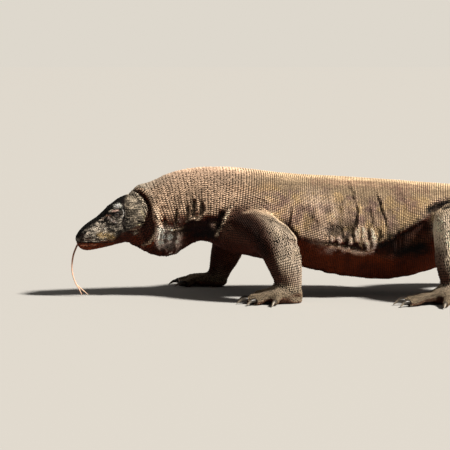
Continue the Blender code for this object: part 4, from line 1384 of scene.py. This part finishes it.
def lay_beads(stretch, rows):
    """One mesh of the beads of a stretch of the body."""
    co, normal, along = rows[:, :3], rows[:, 3:6], rows[:, 6:9]
    along = along - normal * (along * normal).sum(1)[:, None]
    along /= np.linalg.norm(along, axis=1)[:, None]
    across = np.cross(normal, along)
    count = len(rows)
    astray = along * CHANCE.uniform(-BEAD_STRAY, BEAD_STRAY, (count, 1))
    astray = astray + across * CHANCE.uniform(-BEAD_STRAY, BEAD_STRAY, (count, 1))
    co = co + astray * rows[:, 10:11]
    long_by = rows[:, 9] * CHANCE.uniform(*BEAD_LENGTHS, count)
    wide_by = rows[:, 10] * CHANCE.uniform(*BEAD_WIDTHS, count)
    high_by = wide_by * BEAD_HEIGHT * (0.85 + 0.3 * CHANCE.random(count))
    shape = BEAD_CO
    spread = (
        co[:, None, :]
        + along[:, None, :] * (shape[:, 0][None, :] * long_by[:, None])[:, :, None]
        + across[:, None, :] * (shape[:, 1][None, :] * wide_by[:, None])[:, :, None]
        + normal[:, None, :] * (shape[:, 2][None, :] * high_by[:, None] - BEAD_SUNK)[:, :, None]
    )
    mesh = joined(stretch + "_scales", spread.reshape(-1, 3), BEAD_FACES, count)
    contrast = HEAD_CONTRAST if stretch == "head" else CONTRAST
    tone = 1 + contrast * CHANCE.standard_normal(count).clip(-2, 2)
    colour = markings(co, normal) * tone[:, None]
    keep_value(mesh, "markings", np.repeat(np.clip(colour, 0.002, 0.9), len(shape), axis=0))
    keep_value(mesh, "crown", np.tile(shape[:, 2], count))
    layer = mesh.uv_layers.new(name="OFBake")
    at = unwrap(co, stretch)
    patch = (at[:, None, :] + shape[None, :, :2] * 0.003).reshape(-1, 2)
    loop_verts = values_of(mesh.loops, "vertex_index", 1, np.int32).ravel()
    layer.data.foreach_set("uv", np.clip(patch[loop_verts], 0.0005, 0.9995).astype(np.float32).ravel())
    piece_of(stretch + "_scales", mesh, BEAD_FINISH)


away_from = np.stack([nearest(shape_tree(parts), beads[:, :3])[1] for parts in STRETCHES.values()])
belongs = away_from.argmin(0)
for number, stretch in enumerate(STRETCHES):
    of_stretch = beads[belongs == number]
    if stretch in ("belly", "chest"):
        for side, sign in SIDES.items():
            lay_beads(f"{side}_{stretch}", of_stretch[of_stretch[:, 1] * sign > 0])
    else:
        lay_beads(stretch, of_stretch)

# ---------------------------------------------------------------- eyelids
# The rims of the lids are thick, dark and smooth, and lie close against the eye. Each is a roll of
# soft tinted resin, laid along the opening on the eyeball's own curve, where it covers the edge
# cut in the hide.
RIM_POINTS, RIM_SIDES = 56, 10
RIM_THICK = 1.4  # millimetres, half its width
RIM_STAND = 0.5  # how far its middle line stands off the eyeball


def rim_line(side):
    """The opening's edge, laid on the eyeball, in the head's frame and millimetres."""
    eye, radius = eye_at(side)
    turn, lean = math.cos(EYE_TILT), math.sin(EYE_TILT)
    line = []
    for k in range(RIM_POINTS):
        angle = 2 * math.pi * k / RIM_POINTS
        back = EYE_HALF[0] * math.cos(angle)
        up = EYE_HALF[1] * math.sin(angle) * math.sqrt(1 - (back / (EYE_HALF[0] * 1.35)) ** 2)
        x, z = back * turn - up * lean, back * lean + up * turn
        out = math.sqrt((radius + RIM_STAND) ** 2 - x * x - z * z)
        line.append(Vector((eye.x + x, eye.y + SIDES[side] * out, eye.z + z)))
    return line


def lid_rim(side):
    """The roll itself: small rings set along the opening and bridged, one to the next."""
    line, eye = rim_line(side), eye_at(side)[0]
    bm = bmesh.new()
    loops = []
    for k, centre in enumerate(line):
        along = (line[(k + 1) % RIM_POINTS] - line[k - 1]).normalized()
        out = (centre - eye).normalized()
        turn = Matrix((along.cross(out).normalized(), out, along)).transposed().to_4x4()
        slim = 1 - 0.4 * abs(math.cos(2 * math.pi * k / RIM_POINTS)) ** 6
        size = Matrix.Diagonal((RIM_THICK * slim, RIM_THICK * slim * 0.75, 1, 1))
        place = HEAD_FRAME @ Matrix.Scale(0.001, 4) @ Matrix.Translation(centre) @ turn @ size
        made = bmesh.ops.create_circle(bm, segments=RIM_SIDES, radius=1.0, matrix=place)
        loops.append(list({edge for vert in made["verts"] for edge in vert.link_edges}))
    for k in range(RIM_POINTS):
        bmesh.ops.bridge_loops(bm, edges=loops[k] + loops[(k + 1) % RIM_POINTS])
    bmesh.ops.recalc_face_normals(bm, faces=bm.faces[:])
    return bm


def smooth_mesh(name, bm):
    """A bmesh as a smoothly shaded mesh."""
    mesh = bpy.data.meshes.new(name)
    bm.to_mesh(mesh)
    bm.free()
    mesh.polygons.foreach_set("use_smooth", [True] * len(mesh.polygons))
    return mesh


def creased_lid():
    """Bare lid skin: dark, finely creased and a little oily, so that it catches a thin light."""
    made, tree, shader = new_finish("creased_lid_skin")
    crease = pattern(tree, 0.9, 4.0)
    colour = node_add(tree, "ShaderNodeMix", {0: crease, 6: linear("1E1814"), 7: linear("463C35")},
                      data_type="RGBA").outputs[2]
    feed(tree, shader, {"Base Color": colour, "Roughness": 0.42,
                        "Normal": bumps(tree, crease, 0.4, 0.0004)})
    return made


LID_FINISH = creased_lid()
for side in SIDES:
    piece_of(side + "_eyelids", smooth_mesh(side + "_eyelids", lid_rim(side)), LID_FINISH)

# ---------------------------------------------------------------- eyes
# Blown glass eyes, painted from behind: a round pupil in a dark amber iris with a thin bright
# ring, and a clear domed front that takes one sharp highlight. They are pressed into their pits.
IRIS_TURN = math.radians(40)  # from the middle of the front to the iris's rim
CORNEA_RISE = 0.5  # millimetres


def glass_eye(side):
    """A ball with its front domed over the iris, turned to look sideways."""
    eye, radius = eye_at(side)
    bm = bmesh.new()
    bmesh.ops.create_uvsphere(bm, u_segments=48, v_segments=40, radius=radius)
    for vert in bm.verts:
        turn = vert.co.normalized().angle(Vector((0, 0, 1)))
        if turn < IRIS_TURN:
            vert.co += vert.co.normalized() * CORNEA_RISE * math.cos(turn / IRIS_TURN * math.pi / 2)
    bmesh.ops.rotate(bm, verts=bm.verts[:], matrix=Matrix.Rotation(math.radians(-90) * SIDES[side], 3, "X"))
    bmesh.ops.transform(bm, verts=bm.verts[:],
                        matrix=HEAD_FRAME @ Matrix.Scale(0.001, 4) @ Matrix.Translation(eye))
    return bm


def painted_glass():
    """Glass over paint: near black pupil, amber-brown iris flecked darker, very glossy."""
    made, tree, shader = new_finish("painted_glass_eye")
    uneven = worked(tree, "MULTIPLY_ADD", pattern(tree, 0.7, 3.0), 0.10, stored(tree, "turn"))
    colour = ramp(tree, uneven, (0.20, "050403"), (0.25, "4A3016"), (0.31, "2E1C0C"),
                  (0.46, "1C1109"), (0.52, "0C0907"), last=(0.95, "1A120C"))
    feed(tree, shader, {"Base Color": colour, "Roughness": 0.06, "IOR": 1.5, "Coat Weight": 0.6,
                        "Coat Roughness": 0.02})
    return made


GLASS = painted_glass()
for side in SIDES:
    piece = piece_of(side + "_glass_eye", smooth_mesh(side + "_glass_eye", glass_eye(side)), GLASS)
    gaze = in_head(places(piece.data)) * 1000 - np.array(eye_at(side)[0])
    gaze /= np.linalg.norm(gaze, axis=1)[:, None]
    keep_value(piece.data, "turn", np.arccos(np.clip(gaze[:, 1] * SIDES[side], -1, 1)) / (math.pi / 2))
    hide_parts(side + "_eye")

# ---------------------------------------------------------------- claws
# Twenty hooked claws of dark horn, one to a toe and worn pale at the tip. Each is cast by itself,
# and its root is set into the end of the toe.
CLAW_SWELL = 0.0009  # rounding a claw off would thin it by this much
CLAW_ROOT = 0.0065  # how far its root runs on into the toe


def claw_horn():
    """Polished horn: nearly black at the root, streaked along its length, scuffed grey at the tip."""
    made, tree, shader = new_finish("scuffed_claw_horn")
    streak = pattern(tree, 2.4, 4.0)
    worn = worked(tree, "MULTIPLY_ADD", streak, 0.45, stored(tree, "reach"))
    colour = ramp(tree, worn, (0.25, "1C1815"), (0.75, "3A332C"), last=(1.0, "8B7F70"))
    gloss = mapped(tree, streak, (0.0, 1.0), (0.28, 0.55))
    feed(tree, shader, {"Base Color": colour, "Roughness": gloss,
                        "Normal": bumps(tree, streak, 0.3, 0.0004)})
    return made


def swollen_copy(name, node, swell):
    """A node's shape, welded and swollen a little, as a smooth mesh."""
    bm = bmesh.new()
    bm.from_mesh(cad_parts[node].data)
    bmesh.ops.remove_doubles(bm, verts=bm.verts[:], dist=WELD)
    bmesh.ops.join_triangles(bm, faces=bm.faces[:], angle_face_threshold=3.0, angle_shape_threshold=3.0)
    bm.normal_update()
    for vert in bm.verts:
        vert.co += vert.normal * swell
    return smooth_mesh(name, bm)


def round_off(piece, node):
    """Rounds a piece's edges away, and lets it stand for its node."""
    rounding = piece.modifiers.new("rounding", "SUBSURF")
    rounding.levels = rounding.render_levels = 2
    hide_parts(node)


HORN = claw_horn()
for leg in LEGS.values():
    foot_middle = np.array(middle(leg[2]))
    for number in range(1, 6):
        node = f"{leg[2]}_claw_{number}"
        mesh = swollen_copy(node + "_horn", node, CLAW_SWELL)
        piece = piece_of(node + "_horn", mesh, HORN)
        co = places(piece.data)
        away = np.linalg.norm((co - foot_middle)[:, :2], axis=1)
        reach = (away - away.min()) / (away.max() - away.min())
        inward = co[reach < 0.3].mean(0) - co[reach > 0.7].mean(0)
        inward *= CLAW_ROOT / np.linalg.norm(inward)
        put(piece.data, co + inward * (1 - ease(reach, 0.05, 0.5))[:, None])
        keep_value(piece.data, "reach", reach)
        round_off(piece, node)

# ---------------------------------------------------------------- tongue
# A flat moist ribbon that ends in two tines, cast in soft pale resin, tinted darker at its root and
# held in the slot between the lips.
TONGUE_SWELL = 0.0004  # rounding it off would thin it by this much


def moist_flesh():
    """Wet flesh: brown-red where it leaves the mouth, pale pink beyond, with soft light inside."""
    made, tree, shader = new_finish("moist_tongue_flesh")
    mottle = pattern(tree, 3.8, 3.0)
    shift = worked(tree, "MULTIPLY_ADD", mottle, 0.10, stored(tree, "down"))
    colour = ramp(tree, shift, (0.25, "7E4F38"), (0.38, "A8745A"), last=(0.50, "EBC2A6"))
    feed(tree, shader, {"Base Color": colour, "Roughness": 0.30, "Subsurface Weight": 0.15,
                        "Subsurface Scale": 0.004, "Normal": bumps(tree, mottle, 0.25, 0.0004)})
    return made


tongue_mesh = swollen_copy("forked_tongue", "tongue", TONGUE_SWELL)
heights = places(tongue_mesh)[:, 2]
keep_value(tongue_mesh, "down", (heights.max() - heights) / (heights.max() - heights.min()))
round_off(piece_of("forked_tongue", tongue_mesh, moist_flesh()), "tongue")

# ---------------------------------------------------------------- floor, light and camera
# A plain pale floor of matt paint, and one soft lamp like a high sun, to the right of the animal and
# a little before it. The room's own light is weak. The lens is long, far off and slightly raised.
FLOOR_HALF = 30.0
SUN_TOWARDS = (0.65, -0.21, 0.73)
SUN_STRENGTH = 7.0
SUN_SPREAD = math.radians(8)  # shadows are as soft as this
LENS_DISTANCE = 7.0
LENS_RAISED = math.radians(5)
FRAME_WIDTH = 1.305  # what the picture spans at the animal
PICTURE_MIDDLE = (0.04435, 0.2015)  # back from the chest's front edge, and above the floor
SENSOR_WIDTH = 36

floor_mesh = bmesh.new()
bmesh.ops.create_grid(floor_mesh, x_segments=1, y_segments=1, size=FLOOR_HALF)
floor_data = bpy.data.meshes.new("floor")
floor_mesh.to_mesh(floor_data)
floor_mesh.free()
floor = bpy.data.objects.new("floor", floor_data)
matt, tree, shader = new_finish("matt_painted_floor")
feed(tree, shader, {"Base Color": (0.430, 0.421, 0.404, 1), "Roughness": 0.9})
floor.data.materials.append(matt)
bpy.context.scene.collection.objects.link(floor)

world = bpy.data.worlds.new("studio")
bpy.context.scene.world = world
world.use_nodes = True
tree = world.node_tree
sky = tree.nodes["Background"]
feed(tree, sky, {"Color": (1.0, 0.94, 0.87, 1), "Strength": 0.125})
wall = node_add(tree, "ShaderNodeBackground", {"Color": (0.730, 0.686, 0.610, 1), "Strength": 1.0})
seen = node_add(tree, "ShaderNodeLightPath").outputs["Is Camera Ray"]
both = node_add(tree, "ShaderNodeMixShader", {0: seen, 1: sky.outputs[0], 2: wall.outputs[0]})
feed(tree, tree.nodes["World Output"], {"Surface": both.outputs[0]})

lamp = bpy.data.lights.new("key", "SUN")
lamp.energy = SUN_STRENGTH
lamp.angle = SUN_SPREAD
lamp.color = (1.0, 0.95, 0.87)
key = bpy.data.objects.new("key", lamp)
key.rotation_euler = Vector(SUN_TOWARDS).to_track_quat("Z", "Y").to_euler()
bpy.context.scene.collection.objects.link(key)

camera = bpy.data.objects.new("camera", bpy.data.cameras.new("camera"))
bpy.context.scene.collection.objects.link(camera)
camera.data.sensor_width = SENSOR_WIDTH
camera.data.lens = SENSOR_WIDTH * LENS_DISTANCE / FRAME_WIDTH
aim = Vector((CHEST_FRONT + PICTURE_MIDDLE[0], 0, PICTURE_MIDDLE[1] / math.cos(LENS_RAISED)))
camera.location = aim + LENS_DISTANCE * Vector((0, -math.cos(LENS_RAISED), math.sin(LENS_RAISED)))
camera.rotation_euler = (math.radians(90) - LENS_RAISED, 0, 0)
bpy.context.scene.camera = camera
bpy.context.scene.view_settings.view_transform = "Standard"
